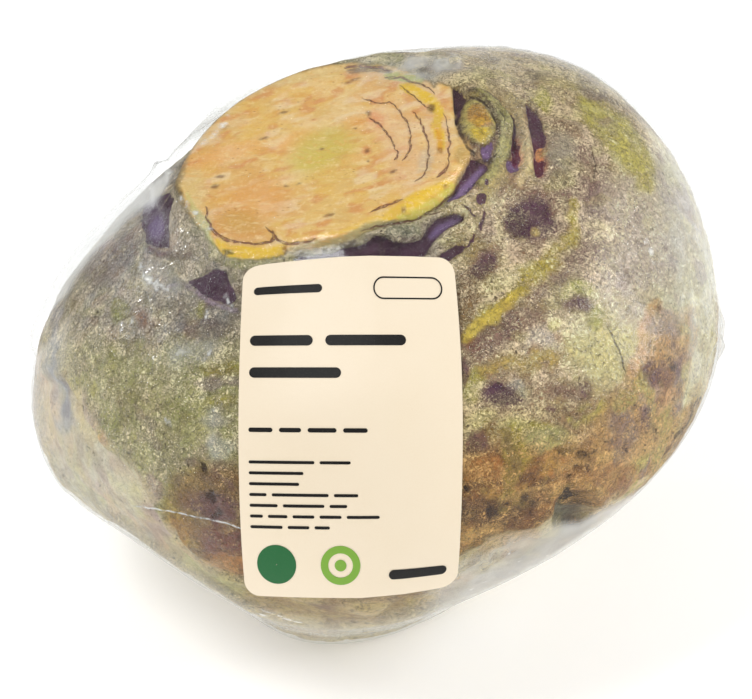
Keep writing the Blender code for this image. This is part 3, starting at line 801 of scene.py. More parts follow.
    # lower left: the brown patch beside the label, and the peach and cream beside it
    rust = blob(w, 224, 522, 62, 60, 0, 0.2) * ease(q[:, 0], 158, 164) * (1 - ease(below_left(w), -3, 3))
    lay(rust, (140, 112, 66), 0.95)
    lay(rust * ease(fbm(P, 6, 3, 98), 0.05, 0.3), (168, 148, 84), 0.8)
    lay(rust * ease(fbm(P, 3.4, 3, 167), 0.08, 0.3), (96, 68, 50), 0.6)
    lay(blob(w, 218, 508, 26, 18, 0, 0.5), (98, 68, 66), 0.8)
    lay(blob(w, 224, 538, 24, 18, 0, 0.5), (122, 74, 72), 0.85)
    lay(blob(w, 228, 566, 28, 13, -8, 0.5), (186, 132, 80), 0.9)
    lay(blob(w, 180, 532, 14, 18, 0), (168, 128, 70), 0.8)
    lay(blob(w, 103, 441, 6, 11, 0), (228, 168, 108), 0.9)
    lay(blob(w, 152, 492, 10, 16, 0), (186, 156, 150), 0.8)
    lay(blob(w, 139, 315, 8, 7, 0, 0.6), (170, 122, 88), 0.9)
    lay(blob(w, 148, 296, 16, 6, -30), (120, 116, 122), 0.6)
    lay(blob(w, 168, 330, 16, 8, 10), (150, 152, 160), 0.6)
    lay(blob(w, 106, 248, 7, 9, 30), (128, 88, 86), 0.7)
    lay(blob(w, 117, 309, 11, 10), (166, 166, 84), 0.95)
    lay(blob(w, 202, 313, 5, 9), (168, 166, 52), 0.8)
    lay(blob(w, 222, 371, 20, 7, 5), (168, 162, 48), 0.8)
    lay(blob(w, 72, 318, 14, 20, 0), (146, 132, 66), 0.7)
    # painted highlight: a whitish spot of the film's glare, laid on the skin
    lay(blob(s, 158, 268, 14, 8, -20), (192, 190, 172), 0.6)
    lay(blob(s, 200, 232, 10, 20, 10), (186, 184, 146), 0.7)
    lay(blob(s, 184, 268, 18, 16, -20), (178, 174, 138), 0.6)

    # undersides, low left and low right
    low_left = front * ease(below_left(w) + 16 * fbm(P, 9, 3, 169), -20, 16) * (1 - ease(q[:, 0], 190, 250))
    under = np.maximum(front * np.maximum(ease(below_right(w), -2, 7), ease(below_left(w), -5, 9) * ease(q[:, 0], 160, 200)), low_left)
    coat.over(under, CREAM)
    coat.over(low_left, rgb(216, 208, 184))
    coat.over(low_left * 0.6 * ease(fbm(P, 8, 3, 165), 0.02, 0.3), rgb(196, 194, 156))
    coat.over(low_left * 0.5 * ease(fbm(P, 7, 3, 166), 0.06, 0.3), rgb(216, 192, 168))
    coat.over(low_left * 0.6 * ease(fbm(P, 10, 3, 170), 0.10, 0.3), rgb(198, 174, 164))
    coat.over(under * 0.6 * ease(fbm(P, 9, 3, 99), 0.0, 0.3), rgb(198, 188, 130))
    coat.over(under * 0.5 * ease(fbm(P * np.array([1, 1, 0.4]), 6, 3, 100), 0.05, 0.3), rgb(226, 190, 156))
    coat.over((under - 0.6 * low_left) * 0.5 * ease(fbm(P, 5, 3, 133), 0.08, 0.3), rgb(168, 146, 112))
    lay(under * blob(w, 336, 612, 110, 26, 0, 0.4), (172, 150, 106), 0.9)
    lay(under * blob(w, 336, 612, 120, 30, 0, 0.4) * ease(fbm(P, 6, 3, 134), 0.0, 0.25), (146, 120, 86), 0.75)
    lay(under * blob(w, 328, 607, 18, 8, 0, 0.4), (128, 104, 96), 0.75)
    lay(under * blob(w, 210, 580, 34, 16, -20, 0.4), (176, 174, 116), 0.7)
    lay(under * blob(w, 148, 520, 16, 34, -10, 0.5), (178, 158, 152), 0.6)
    lay(under * blob(w, 118, 500, 24, 20, 0, 0.5), (222, 214, 178), 0.6)
    # painted shadow: the dark inside of the deep dent low on the right, with the shaded grey below it seen through the
    # film
    lay(blob(w, 577, 522, 18, 18, -12, 0.4), (108, 108, 96), 0.9)
    lay(blob(w, 575, 503, 18, 14, -15, 0.4), (48, 40, 34), 0.95)
    lay(stroke(w, [(511, 446, 6), (513, 468, 8), (508, 490, 6)], soft=0.6), (156, 142, 66), 0.75)
    lay(blob(w, 546, 438, 20, 11, 20), (190, 192, 140), 0.75)
    lay(blob(w, 60, 430, 22, 50, -10), (206, 192, 168), 0.5)
    # painted reflection: pastel peach and blue-grey bands down the far left rim, standing for what the film mirrors
    # there
    lay(stroke(w, [(38, 318, 6), (35, 378, 9), (42, 446, 11)], soft=0.8), (226, 198, 164), 0.5)
    lay(stroke(w, [(56, 330, 4), (55, 372, 5), (58, 412, 4)], soft=0.7), (150, 148, 150), 0.7)
    lay(stroke(w, [(66, 372, 3), (71, 404, 4), (76, 440, 4)], soft=0.7), (206, 186, 138), 0.7)
    # bands of yellow and mauve beside the label; the two silver-grey patches below them are a painted reflection, the
    # film's milky glare laid on the skin
    lay(blob(w, 220, 384, 24, 6, 4), (148, 132, 128), 0.8)
    lay(blob(w, 222, 403, 20, 6, 4), (166, 158, 70), 0.8)
    lay(blob(w, 216, 420, 16, 7, 4), (168, 170, 160), 0.8)
    lay(blob(w, 224, 446, 16, 9, 4), (176, 180, 172), 0.7)
    # and the mixed tones at the right
    outer = brown * ease(x, 585, 625)
    lay(outer * ease(fbm(P, 6, 3, 173), 0.08, 0.26), (148, 130, 128), 0.85)
    lay(outer * ease(fbm(P, 5, 3, 174), 0.10, 0.28), (196, 184, 112), 0.85)
    lay(stroke(w, [(699, 384, 4), (690, 408, 7), (676, 434, 6)], soft=0.6), (190, 164, 108), 0.7)
    lay(blob(w, 648, 416, 7, 18, -10), (140, 120, 116), 0.85)
    lay(blob(w, 604, 436, 14, 8, 40), (212, 176, 122), 0.8)
    lay(blob(w, 640, 452, 22, 10, 30), (220, 184, 128), 0.8)
    # painted reflection: two more of the pastel bands down the far left rim
    lay(stroke(w, [(54, 310, 5), (52, 366, 7), (58, 424, 7)], soft=0.8), (150, 154, 166), 0.6)
    lay(stroke(w, [(68, 326, 5), (66, 378, 6), (78, 434, 8)], soft=0.8), (216, 202, 164), 0.6)

    # covers, placed one by one
    lilac = front * np.maximum.reduce([
        0.9 * stroke(s, [(484, 166, 2), (474, 180, 4), (462, 192, 4), (452, 198, 2)], soft=0.7), 0.6 * patch(s, LILAC, 2),
        0.7 * patch(s, SCAR_FOOT, 2), 0.7 * stroke(s, [(460, 217, 2), (444, 226, 4), (432, 236, 3)], soft=0.7),
        0.7 * blob(s, 157, 228, 7, 13, -10, 0.6), 0.3 * blob(s, 150, 206, 8, 8, 0, 0.6)])
    keep = front * np.maximum(face, gold)
    scurf = set_cover(scurf, left, 0.70)
    scurf = set_cover(scurf, left * ease(y, 330, 370), 0.56)
    scurf = scurf + front * left * 0.10 * fbm(P, 9, 3, 111)
    scurf = set_cover(scurf, right * (1 - brown), 0.76)
    scurf = set_cover(scurf, brown, 0.50)
    scurf = set_cover(scurf, olive, 0.36)
    scurf = set_cover(scurf, blob(w, 560, 154, 14, 22, 0, 0.5), 0.36)
    scurf = set_cover(scurf, stroke(w, [(524, 436), (556, 424), (600, 404)], 12), 0.5)
    scurf = set_cover(scurf, stroke(w, [(484, 371), (522, 361), (548, 360)], 9), 0.5)
    scurf = set_cover(scurf, blob(w, 117, 309, 12, 11), 0.45)
    scurf = set_cover(scurf, blob(w, 139, 315, 8, 7), 0.4)
    scurf = set_cover(scurf, blob(w, 460, 300, 24, 26, 0, 0.5), 0.62)
    scurf = set_cover(scurf, blob(w, 690, 300, 45, 140, 0, 0.4), 0.34)
    scurf = set_cover(scurf, blob(w, 645, 250, 44, 86, 8, 0.5), 0.50)
    scurf = set_cover(scurf, patch(s, SCAR, 1.5), 0.06)
    scurf = set_cover(scurf, patch(s, CRESCENT, 1.5), 0.16)
    scurf = set_cover(scurf, stroke(s, [(519, 112), (524, 138), (526, 154), (525, 170), (518, 184)], 5), 0.2)
    scurf = set_cover(scurf, blob(w, 604, 350, 34, 36, 0, 0.4), 0.42)
    scurf = set_cover(scurf, stroke(w, [(574, 206, 4), (568, 236, 6), (546, 268, 8), (519, 294, 7)]), 0.42)
    scurf = set_cover(scurf, stroke(s, [(522, 293), (464, 340)], 8), 0.12)
    scurf = set_cover(scurf, stroke(s, [(147, 250), (164, 256), (180, 258), (194, 254)], 3), 0.2)
    scurf = set_cover(scurf, stroke(s, [(170, 287), (184, 284), (196, 292), (212, 303), (237, 311)], 3), 0.25)
    scurf = set_cover(scurf, rust, 0.3)
    scurf = set_cover(scurf, under, 0.05)
    scurf = set_cover(scurf, blob(s, 492, 140, 40, 55, 20, 0.3), 0.3)

    marks = [
        # deep marks, nearly free of scurf
        (patch(s, WEDGE, 1.2), 1.0, 0.0),
        (patch(s, SLIT, 1.2), 1.0, 0.0),
        (patch(s, RED_SLIT, 1.2), 1.0, 0.0),
        (patch(s, OUTER, 1.5), 1.0, 0.08),
        (patch(s, OUTER_RED, 1.5), 1.0, 0.0),
        (patch(s, LILAC, 1.5), 0.9, 0.05),
        (patch(s, SCAR_FOOT, 1.5), 0.9, 0.0),
        (patch(s, BAND, 1.5), 1.0, 0.0),
        (patch(s, GUTTER, 1.5), 1.0, 0.02),
        (patch(s, HOOK, 1.5), 1.0, 0.05),
        (blob(s, 487, 184, 3, 3.5, 0), 0.8, 0.1),
        (blob(s, 481, 200, 5, 6.5, -20), 0.95, 0.05),
        (patch(s, [(143, 204), (158, 197), (170, 193), (174, 200), (170, 216), (171, 232), (172, 247), (160, 249), (148, 246), (144, 226)]), 0.95, 0.03),
        (patch(s, [(188, 281), (203, 277), (217, 270), (227, 273), (231, 284), (237, 300), (230, 305), (216, 301), (203, 296), (196, 288)]), 1.0, 0.02),
        # marks that show through the scurf
        (blob(w, 534, 220, 29, 24, 0, 0.35), 1.25, 0.31),
        (blob(w, 482, 266, 23, 11, 32, 0.5), 1.0, 0.42),
        (stroke(w, [(594, 190, 7), (598, 220, 11), (582, 256, 13), (556, 284, 13), (536, 302, 13), (512, 324, 13), (474, 352, 9)]), 0.5, 0.55),
        (blob(w, 504, 397, 21, 15, 10, 0.4), 1.15, 0.36),
        (stroke(s, [(486, 211, 1.5), (482, 222, 2.2), (480, 231, 1)]), 0.95, 0.1),
        (stroke(s, [(475, 235, 1), (470, 243, 1.8), (465, 250, 1)]), 0.85, 0.1),
        (stroke(s, [(462, 206, 1), (470, 212, 1.8), (477, 218, 1)]), 0.8, 0.15),
        (blob(w, 463, 378, 8, 13, 0, 0.3), 0.85, 0.3),
        (blob(w, 564, 388, 14, 9, 10, 0.7), 0.5, 0.5),
        (blob(w, 584, 387, 7, 9, 0, 0.5), 0.9, 0.3),
        (blob(w, 550, 404, 5, 5, 0), 0.85, 0.2),
        (blob(w, 580, 307, 11, 8, 0, 0.5), 1.0, 0.3),
        (blob(w, 477, 443, 14, 11, 20), 0.8, 0.25),
        (stroke(w, [(508, 434, 5), (516, 468, 4)]), 0.5, 0.3),
        (blob(w, 653, 373, 15, 12, 0, 0.5), 0.85, 0.35),
        (blob(w, 676, 366, 6, 8, 0), 0.8, 0.2),
        (stroke(w, [(646, 404, 5), (652, 440, 4)]), 0.55, 0.3),
        (blob(w, 616, 232, 22, 16, 30), 0.3, 0.7),
        (blob(w, 640, 96, 14, 10, -30), 0.5, 0.5),
        (blob(w, 200, 330, 26, 12, -10), 0.5, 0.5),
        (blob(w, 92, 262, 16, 26, 30), 0.45, 0.55),
        (blob(w, 120, 250, 22, 12, 40), 0.4, 0.55),
        (blob(w, 186, 463, 8, 7, 0), 0.7, 0.3),
        (stroke(w, [(216, 468, 3), (228, 482, 4)]), 0.7, 0.3),
        (blob(w, 214, 506, 28, 14, -8), 0.75, 0.25),
        (blob(w, 222, 372, 20, 5, 0), 0.3, 0.4),
    ]
    for mask, amount, left_scurf in marks:
        stain = left_scurf >= 0.2
        if stain:
            lay(mask, (116, 84, 92), min(0.85 * amount, 0.9))
        purple = np.maximum(purple, front * mask * amount * (0.52 if stain else 1.0))
        scurf = set_cover(scurf, mask, left_scurf)
    purple *= 1 - 0.95 * front * np.maximum(blob(s, 543, 153, 5, 6), blob(s, 538, 232, 4.5, 5))
    lay(blob(s, 543, 153, 5, 6), (190, 160, 100), 0.9)
    lay(blob(s, 538, 232, 4.5, 5), (186, 164, 112), 0.9)
    # dark pits and specks; those at (520, 497), (492, 512) and (530, 505) are painted shade along the lower edge of the
    # brown zone
    for dx, dy, r, amount in ((583, 456, 6, 0.5), (578, 470, 5, 0.48), (571, 480, 4, 0.5), (590, 452, 4, 0.55), (200, 469, 5.5, 0.62),
                              (207, 496, 7, 0.6), (216, 516, 5, 0.5), (466, 487, 4, 0.6), (673, 366, 4, 0.55), (668, 360, 2.5, 0.5),
                              (77, 409, 2.5, 0.8), (604, 442, 3.5, 0.5), (654, 434, 2.5, 0.5), (520, 497, 5, 0.5),
                              (492, 512, 8, 0.5), (530, 505, 8, 0.4), (626, 448, 3, 0.5)):
        dark = np.maximum(dark, front * amount * blob(w, dx, dy, r, r * 1.25, 20, 0.5))
    dark = np.maximum(dark, front * 0.5 * stroke(w, [(702, 396, 2), (690, 414, 2.5), (671, 446, 2.5), (660, 462, 2)]))
    # painted shadow in the same dent
    dark = np.maximum(dark, front * 0.62 * blob(w, 574, 501, 14, 9, -15, 0.5))
    red = front * np.maximum.reduce([patch(s, OUTER_RED, 2.0), patch(s, RED_SLIT, 1.5), 0.5 * patch(s, OUTER, 2.0) * ease(q[:, 1], 128, 150)])
    purple *= 1 - keep
    scurf *= 1 - keep
    dark *= 1 - keep
    flesh = np.clip(face + front * gold, 0, 1)
    even = 1 - 0.6 * front * left - 0.35 * front * right
    scurf = scurf + (0.60 * even * fbm(P, 5.5, 3, 121) + 0.26 * fbm(P, 1.9, 2, 122)) * (1 - flesh) * ease(scurf, 0.02, 0.2)
    covers = np.clip(np.stack([scurf, purple, flesh, dark], 1), 0, 1)
    mottle = np.stack([
        0.5 + 0.75 * fbm(P, 3.2, 3, 123), 0.5 + 0.9 * fbm(P, 2.4, 3, 124),
        ease(fbm(P, 4.5, 2, 125), -0.05, 0.3), lilac], 1)
    warm = np.clip(0.9 * ease(z, 40, 56) * (1 - top) * (1 - front) + 0.9 * brown * front + 0.5 * rust * front
                   + 0.5 * front * blob(w, 660, 360, 30, 48, 0, 0.4), 0, 1)
    # how light and how warm the whole skin reads, place by place: partly its own tone, partly painted light that lifts
    # the right flank and its pale edge where the lamps leave them dim
    tint = Coat(n, (1.06, 1.05, 1.0))
    tint.over(front * left * (1 - ease(y, 320, 370)), (0.97, 0.95, 0.96))
    tint.over(front * left * ease(y, 320, 370), (1.28, 1.26, 1.14))
    tint.over(front * rust, (1.26, 1.19, 0.98))
    tint.over(front * right, (1.26, 1.20, 1.06))
    tint.over(front * right * (1 - ease(y, 110, 150)), (1.08, 1.03, 0.84))
    # painted light: the pale right edge is lifted most
    tint.over(front * right * ease(x, 640, 680) * (1 - ease(y, 300, 330)), (1.32, 1.31, 1.24))
    tint.over(front * right * ease(y, 385, 415), (1.12, 1.06, 0.80))
    tint.over(front * brown, (1.18, 1.10, 0.80))
    tint.over(front * brown * ease(x, 585, 625), (1.17, 1.13, 1.00))
    tint.over(front * tan, (1.22, 1.22, 1.12))
    tint.over(under, (1.08, 1.02, 0.88))
    tint.over(low_left, (1.16, 1.16, 1.14))
    tint.over(flesh, (1.0, 1.0, 1.0))
    # where the skin is young and smooth its grain is faint
    pale_edge = front * right * ease(x, 640, 690) * (1 - ease(y, 300, 340))
    calm = np.clip(np.maximum(0.72 * low_left, 0.35 * pale_edge), 0, 1)
    tint = np.concatenate([tint.c, warm[:, None]], 1)
    tint[:, :3] *= 1 + red[:, None] * (np.array([1.5, 0.7, 0.8]) - 1)
    return np.clip(coat.c, 0, 1), covers, np.clip(mottle, 0, 1), tint, calm


# ---------------------------------------------------------------- materials
class Graph:
    """A short way to wire nodes. An input may be a number, a tuple or another node's output."""

    def __init__(self, name):
        self.material = bpy.data.materials.new(name)
        self.material.use_nodes = True
        self.tree = self.material.node_tree
        self.tree.nodes.clear()

    def node(self, kind, inputs=(), **settings):
        n = self.tree.nodes.new(kind)
        for key, value in settings.items():
            setattr(n, key, value)
        for key, value in dict(inputs).items():
            self.put(n.inputs[key], value)
        return n

    def put(self, socket, value):
        if isinstance(value, bpy.types.NodeSocket):
            self.tree.links.new(value, socket)
        elif isinstance(value, (tuple, list, np.ndarray)) and socket.type == "RGBA" and len(value) == 3:
            socket.default_value = (*[float(v) for v in value], 1.0)
        elif isinstance(value, (tuple, list, np.ndarray)):
            socket.default_value = tuple(float(v) for v in value)
        else:
            socket.default_value = value

    def math(self, op, a, b=0.0, c=0.0, clamp=False):
        n = self.tree.nodes.new("ShaderNodeMath")
        n.operation, n.use_clamp = op, clamp
        for socket, value in zip(n.inputs, (a, b, c)):
            self.put(socket, value)
        return n.outputs[0]

    def vector(self, op, a, b=(0, 0, 0), scale=1.0):
        n = self.tree.nodes.new("ShaderNodeVectorMath")
        n.operation = op
        self.put(n.inputs[0], a)
        self.put(n.inputs[1], b)
        if op == "SCALE":
            self.put(n.inputs["Scale"], scale)
        return n.outputs["Value" if op in ("DOT_PRODUCT", "LENGTH", "DISTANCE") else "Vector"]

    def ramp(self, value, lo, hi, out_lo=0.0, out_hi=1.0, smooth=True):
        n = self.node("ShaderNodeMapRange", {"Value": value, "From Min": lo, "From Max": hi, "To Min": out_lo, "To Max": out_hi})
        n.interpolation_type = "SMOOTHSTEP" if smooth else "LINEAR"
        n.clamp = True
        return n.outputs["Result"]

    def mix(self, factor, a, b, blend="MIX"):
        n = self.tree.nodes.new("ShaderNodeMix")
        n.data_type, n.blend_type = "RGBA", blend
        self.put(n.inputs[0], factor)
        self.put(n.inputs[6], a)
        self.put(n.inputs[7], b)
        return n.outputs[2]

    def noise(self, vector, scale, detail=3.0, rough=0.55, distortion=0.0, colour=False):
        n = self.node("ShaderNodeTexNoise", {"Vector": vector, "Scale": scale, "Detail": detail, "Roughness": rough, "Distortion": distortion})
        return n.outputs["Color" if colour else "Fac"]

    def voronoi(self, vector, scale, feature="F1", output="Distance"):
        n = self.node("ShaderNodeTexVoronoi", {"Vector": vector, "Scale": scale}, feature=feature)
        return n.outputs[output]

    def position(self):
        """The point on the object, in millimetres."""
        n = self.node("ShaderNodeTexCoord")
        return self.vector("SCALE", n.outputs["Object"], scale=1000.0)

    def attribute(self, name):
        return self.node("ShaderNodeAttribute", attribute_name=name)

    def stencil(self, position):
        back, right, up = stencil_frame()
        eye = np.array(VIEW_TARGET) + back * VIEW_DISTANCE
        d = self.vector("SUBTRACT", position, tuple(eye))
        depth = self.math("MULTIPLY", self.vector("DOT_PRODUCT", d, tuple(back)), -1.0)
        x = self.math("DIVIDE", self.math("MULTIPLY", self.vector("DOT_PRODUCT", d, tuple(right)), STENCIL_FOCAL), depth)
        y = self.math("DIVIDE", self.math("MULTIPLY", self.vector("DOT_PRODUCT", d, tuple(up)), -STENCIL_FOCAL), depth)
        n = self.node("ShaderNodeCombineXYZ", {"X": self.math("ADD", x, STENCIL_SIZE[0] / 2), "Y": self.math("ADD", y, STENCIL_SIZE[1] / 2)})
        return n.outputs[0]

    def arcs(self, where, lines, widen=1.0):
        """1 on thin arcs, each through three stencil points."""
        total = None
        for arc in lines:
            (cx, cy), r, mid, reach = circle_through(*arc[:3])
            d = self.vector("SUBTRACT", where, (cx, cy, 0))
            length = self.vector("LENGTH", d)
            along = self.math("DIVIDE", self.vector("DOT_PRODUCT", d, (mid[0], mid[1], 0)), length)
            taper = self.math("SQRT", self.ramp(along, reach, 1.0, 0.0, 1.0, smooth=False))
            off = self.math("ABSOLUTE", self.math("SUBTRACT", length, r))
            width = self.math("ADD", self.math("MULTIPLY", taper, arc[3] * widen), 0.001)
            line = self.ramp(self.math("DIVIDE", off, width), 0.45, 1.25, 1.0, 0.0)
            total = line if total is None else self.math("MAXIMUM", total, line)
        return total

    def finish(self, shader):
        out = self.node("ShaderNodeOutputMaterial")
        self.tree.links.new(shader, out.inputs["Surface"])
        return self.material


def skin_material():
    g = Graph("rutabaga_surface")
    p = g.position()
    tone = g.attribute("tone").outputs["Color"]
    cover = g.attribute("cover")
    parts = g.node("ShaderNodeSeparateColor", {"Color": cover.outputs["Color"]})
    scurf, purple, flesh = parts.outputs[0], parts.outputs[1], parts.outputs[2]
    dark = cover.outputs["Alpha"]
    mottle = g.attribute("mottle")
    parts = g.node("ShaderNodeSeparateColor", {"Color": mottle.outputs["Color"]})
    broad, choice, some = parts.outputs[0], parts.outputs[1], parts.outputs[2]
    tint = g.attribute("tint")
    skin = g.math("SUBTRACT", 1.0, flesh)
    lively = g.math("SUBTRACT", 1.0, g.attribute("calm").outputs["Fac"])

    wander = g.vector("SCALE", g.vector("SUBTRACT", g.noise(p, 0.9, 1, 0.6, colour=True), (0.5, 0.5, 0.5)), scale=1.8)
    wp = g.vector("ADD", p, wander)
    rugged = g.noise(wp, 1.15, 4, 0.72)
    clots = g.noise(p, 0.9, 4, 0.72)
    flat = g.vector("MULTIPLY", wp, (1.0, 1.0, 1.7))  # drawn out round the girth
    # growth lines that run round the crown's axis
    axis = tuple(unit(CROWN_TILT))
    way = g.vector("NORMALIZE", g.vector("SUBTRACT", wp, CENTRE))
    height = g.vector("DOT_PRODUCT", way, axis)
    spoke = g.vector("NORMALIZE", g.vector("SUBTRACT", way, g.vector("SCALE", axis, scale=height)))
    ring = g.vector("SCALE", axis, scale=g.math("MULTIPLY", g.math("ARCCOSINE", height), 62.0))
    growth = g.noise(g.vector("ADD", g.vector("SCALE", spoke, scale=13.0), ring), 1.0, 3, 0.62, 0.6)

    # skin tone: blotched and mottled, and darker in the low places of its relief, partly its own colour and partly
    # painted shade
    colour = g.mix(g.math("MULTIPLY", g.ramp(broad, 0.54, 0.82), 0.42), tone, g.mix(0.5, tone, rgb(204, 190, 108)))
    colour = g.mix(g.math("MULTIPLY", g.ramp(broad, 0.48, 0.20), 0.5), colour, g.mix(0.5, tone, rgb(116, 74, 64)))
    deep = g.math("MULTIPLY", g.ramp(rugged, 0.53, 0.37), 0.68)
    deep = g.math("MAXIMUM", deep, g.math("MULTIPLY", g.ramp(growth, 0.44, 0.34), 0.5))
    colour = g.mix(g.math("MULTIPLY", deep, lively), colour, g.mix(0.65, tone, rgb(48, 28, 24)))

    # purple that breaks up at its edges
    edge = g.math("ADD", purple, g.math("MULTIPLY", g.math("SUBTRACT", rugged, 0.5), 1.1))
    violet = g.ramp(edge, 0.42, 0.60)
    violet_tone = g.mix(g.math("MULTIPLY", choice, 0.6), rgb(54, 14, 46), rgb(92, 52, 86))
    violet_tone = g.mix(g.ramp(scurf, 0.12, 0.42), violet_tone, g.mix(choice, rgb(66, 40, 54), rgb(100, 72, 86)))
    violet_tone = g.mix(mottle.outputs["Alpha"], violet_tone, rgb(128, 104, 158))
    colour = g.mix(g.math("MULTIPLY", g.math("MULTIPLY", violet, 0.94), skin), colour, violet_tone)

    # scurf: cream grains and short winding fibres, thick in places and worn off in others
    level = g.ramp(scurf, 0.0, 1.0, 0.72, 0.405, smooth=False)
    level = g.math("ADD", level, g.math("MULTIPLY", g.math("SUBTRACT", clots, 0.5), 0.26))
    level = g.math("SUBTRACT", level, g.math("MULTIPLY", g.math("SUBTRACT", growth, 0.5), 0.30))
    grain = g.noise(flat, 2.0, 3, 0.66, 0.9)
    grains = g.ramp(g.math("SUBTRACT", grain, level), -0.03, 0.05)
    fibre = g.noise(g.vector("ADD", flat, (5.9, 13.3, 4.7)), 1.1, 1, 0.5, 1.9)
    reach = g.ramp(scurf, 0.1, 0.9, 0.0, 0.066, smooth=False)
    fibres = g.ramp(g.math("SUBTRACT", g.math("ABSOLUTE", g.math("SUBTRACT", fibre, 0.5)), reach), -0.012, 0.012, 1.0, 0.0)
    veil = g.math("MAXIMUM", grains, g.math("MULTIPLY", fibres, 0.85))
    grain_tone = g.mix(choice, rgb(248, 234, 196), rgb(198, 176, 160))
    grain_tone = g.mix(g.ramp(broad, 0.62, 0.90), grain_tone, rgb(222, 213, 168))
    grain_tone = g.mix(0.52, grain_tone, g.mix(0.36, tone, rgb(255, 246, 220)))
    grain_tone = g.mix(tint.outputs["Alpha"], grain_tone, g.mix(choice, rgb(222, 182, 128), rgb(182, 138, 92)))
    colour = g.mix(g.math("MULTIPLY", g.math("MULTIPLY", veil, 0.88), skin), colour, grain_tone)

    # painted light and shade on the grain: lighter where it rises and darker in its gaps
    grain_light_and_shade = g.math("MULTIPLY", g.ramp(grain, 0.38, 0.60, 0.78, 1.16, smooth=False), g.ramp(rugged, 0.36, 0.62, 0.84, 1.12, smooth=False))
    crisp = g.math("MULTIPLY", g.math("MULTIPLY", skin, lively), g.ramp(scurf, 0.05, 0.35, 0.35, 1.0))
    grain_light_and_shade = g.math("ADD", g.math("MULTIPLY", g.math("SUBTRACT", grain_light_and_shade, 1.0), crisp), 1.0)
    # times the place-by-place tone, which carries painted light on the right flank
    colour = g.vector("MULTIPLY", g.vector("SCALE", colour, scale=grain_light_and_shade), tint.outputs["Color"])
    colour = g.vector("MINIMUM", colour, (0.92, 0.86, 0.70))

    # small dark specks and pits, and the painted shadow and shade that the dark cover brings to the lower right
    dots = g.ramp(g.voronoi(wp, 0.7), 0.10, 0.22, 1.0, 0.0)
    specks = g.math("MULTIPLY", g.math("MULTIPLY", dots, some), 0.7)
    holes = g.ramp(g.math("ADD", dark, g.math("MULTIPLY", g.math("SUBTRACT", rugged, 0.5), 1.5)), 0.32, 0.66)
    colour = g.mix(g.math("MULTIPLY", g.math("MAXIMUM", g.math("MULTIPLY", specks, 0.85), g.math("MULTIPLY", holes, 0.9)), skin), colour, rgb(54, 34, 24))

    # cut flesh: blade streaks, pores and the layered leaf bases
    q = g.stencil(p)
    streak = g.node("ShaderNodeMapping", {"Vector": q, "Rotation": (0, 0, radians(17)), "Scale": (0.05, 0.15, 1.0)}, vector_type="POINT").outputs[0]
    streaks = g.noise(streak, 1.0, 4, 0.66, 0.5)
    meat = g.mix(g.math("MULTIPLY", g.ramp(streaks, 0.53, 0.66), 0.45), tone, rgb(224, 168, 88))
    meat = g.mix(g.math("MULTIPLY", g.ramp(streaks, 0.47, 0.32), 0.5), meat, rgb(240, 212, 154))
    meat = g.mix(g.math("MULTIPLY", g.ramp(clots, 0.55, 0.68), 0.40), meat, rgb(200, 150, 84))
    meat = g.mix(g.math("MULTIPLY", g.ramp(clots, 0.46, 0.34), 0.35), meat, rgb(246, 224, 172))
    pores = g.math("MULTIPLY", g.ramp(g.voronoi(streak, 2.2), 0.07, 0.18, 1.0, 0.0), some)
    meat = g.mix(g.math("MULTIPLY", pores, 0.7), meat, rgb(158, 98, 42))
    jitter = g.vector("SCALE", g.vector("SUBTRACT", g.noise(p, 0.42, 2, 0.5, colour=True), (0.5, 0.5, 0.5)), scale=7.0)
    qq = g.vector("ADD", q, g.vector("MULTIPLY", jitter, (1, 1, 0)))
    front = g.attribute("front").outputs["Fac"]
    rings = g.math("MULTIPLY", g.arcs(qq, CROWN_LINES, 0.74), front)
    broken = g.ramp(clots, 0.38, 0.52, 0.25, 1.0)
    colour = g.mix(flesh, colour, meat)
    colour = g.mix(g.math("MULTIPLY", g.math("MULTIPLY", rings, broken), 0.80), colour, rgb(122, 72, 62))
    cracks = g.math("MULTIPLY", g.math("MULTIPLY", g.arcs(qq, SKIN_LINES), front), broken)
    colour = g.mix(g.math("MULTIPLY", cracks, 0.75), colour, rgb(62, 44, 34))

    # height of the fine relief
    up = g.math("ADD", g.math("MULTIPLY", rugged, 1.2), g.math("MULTIPLY", veil, 0.75))
    up = g.math("ADD", up, g.math("MULTIPLY", growth, 1.2))
    up = g.math("SUBTRACT", up, g.math("MULTIPLY", g.math("MAXIMUM", holes, specks), 1.4))
    up = g.math("MULTIPLY", up, skin)
    up = g.math("ADD", up, g.math("MULTIPLY", streaks, g.math("MULTIPLY", flesh, 0.8)))
    up = g.math("SUBTRACT", up, g.math("MULTIPLY", rings, 1.3))
    bump = g.node("ShaderNodeBump", {"Height": up, "Distance": 0.0005, "Strength": 0.95})

    rough = g.math("ADD", g.math("MULTIPLY", flesh, -0.2), g.math("ADD", 0.6, g.math("MULTIPLY", veil, 0.15)))
    shader = g.node("ShaderNodeBsdfPrincipled", {
        "Base Color": colour, "Roughness": rough, "Normal": bump.outputs[0],
        "Subsurface Weight": g.math("MULTIPLY", flesh, 0.10), "Subsurface Radius": (0.0016, 0.0010, 0.0005), "Subsurface Scale": 1.0,
        "Specular IOR Level": 0.16,
    })
    return g.finish(shader.outputs[0])


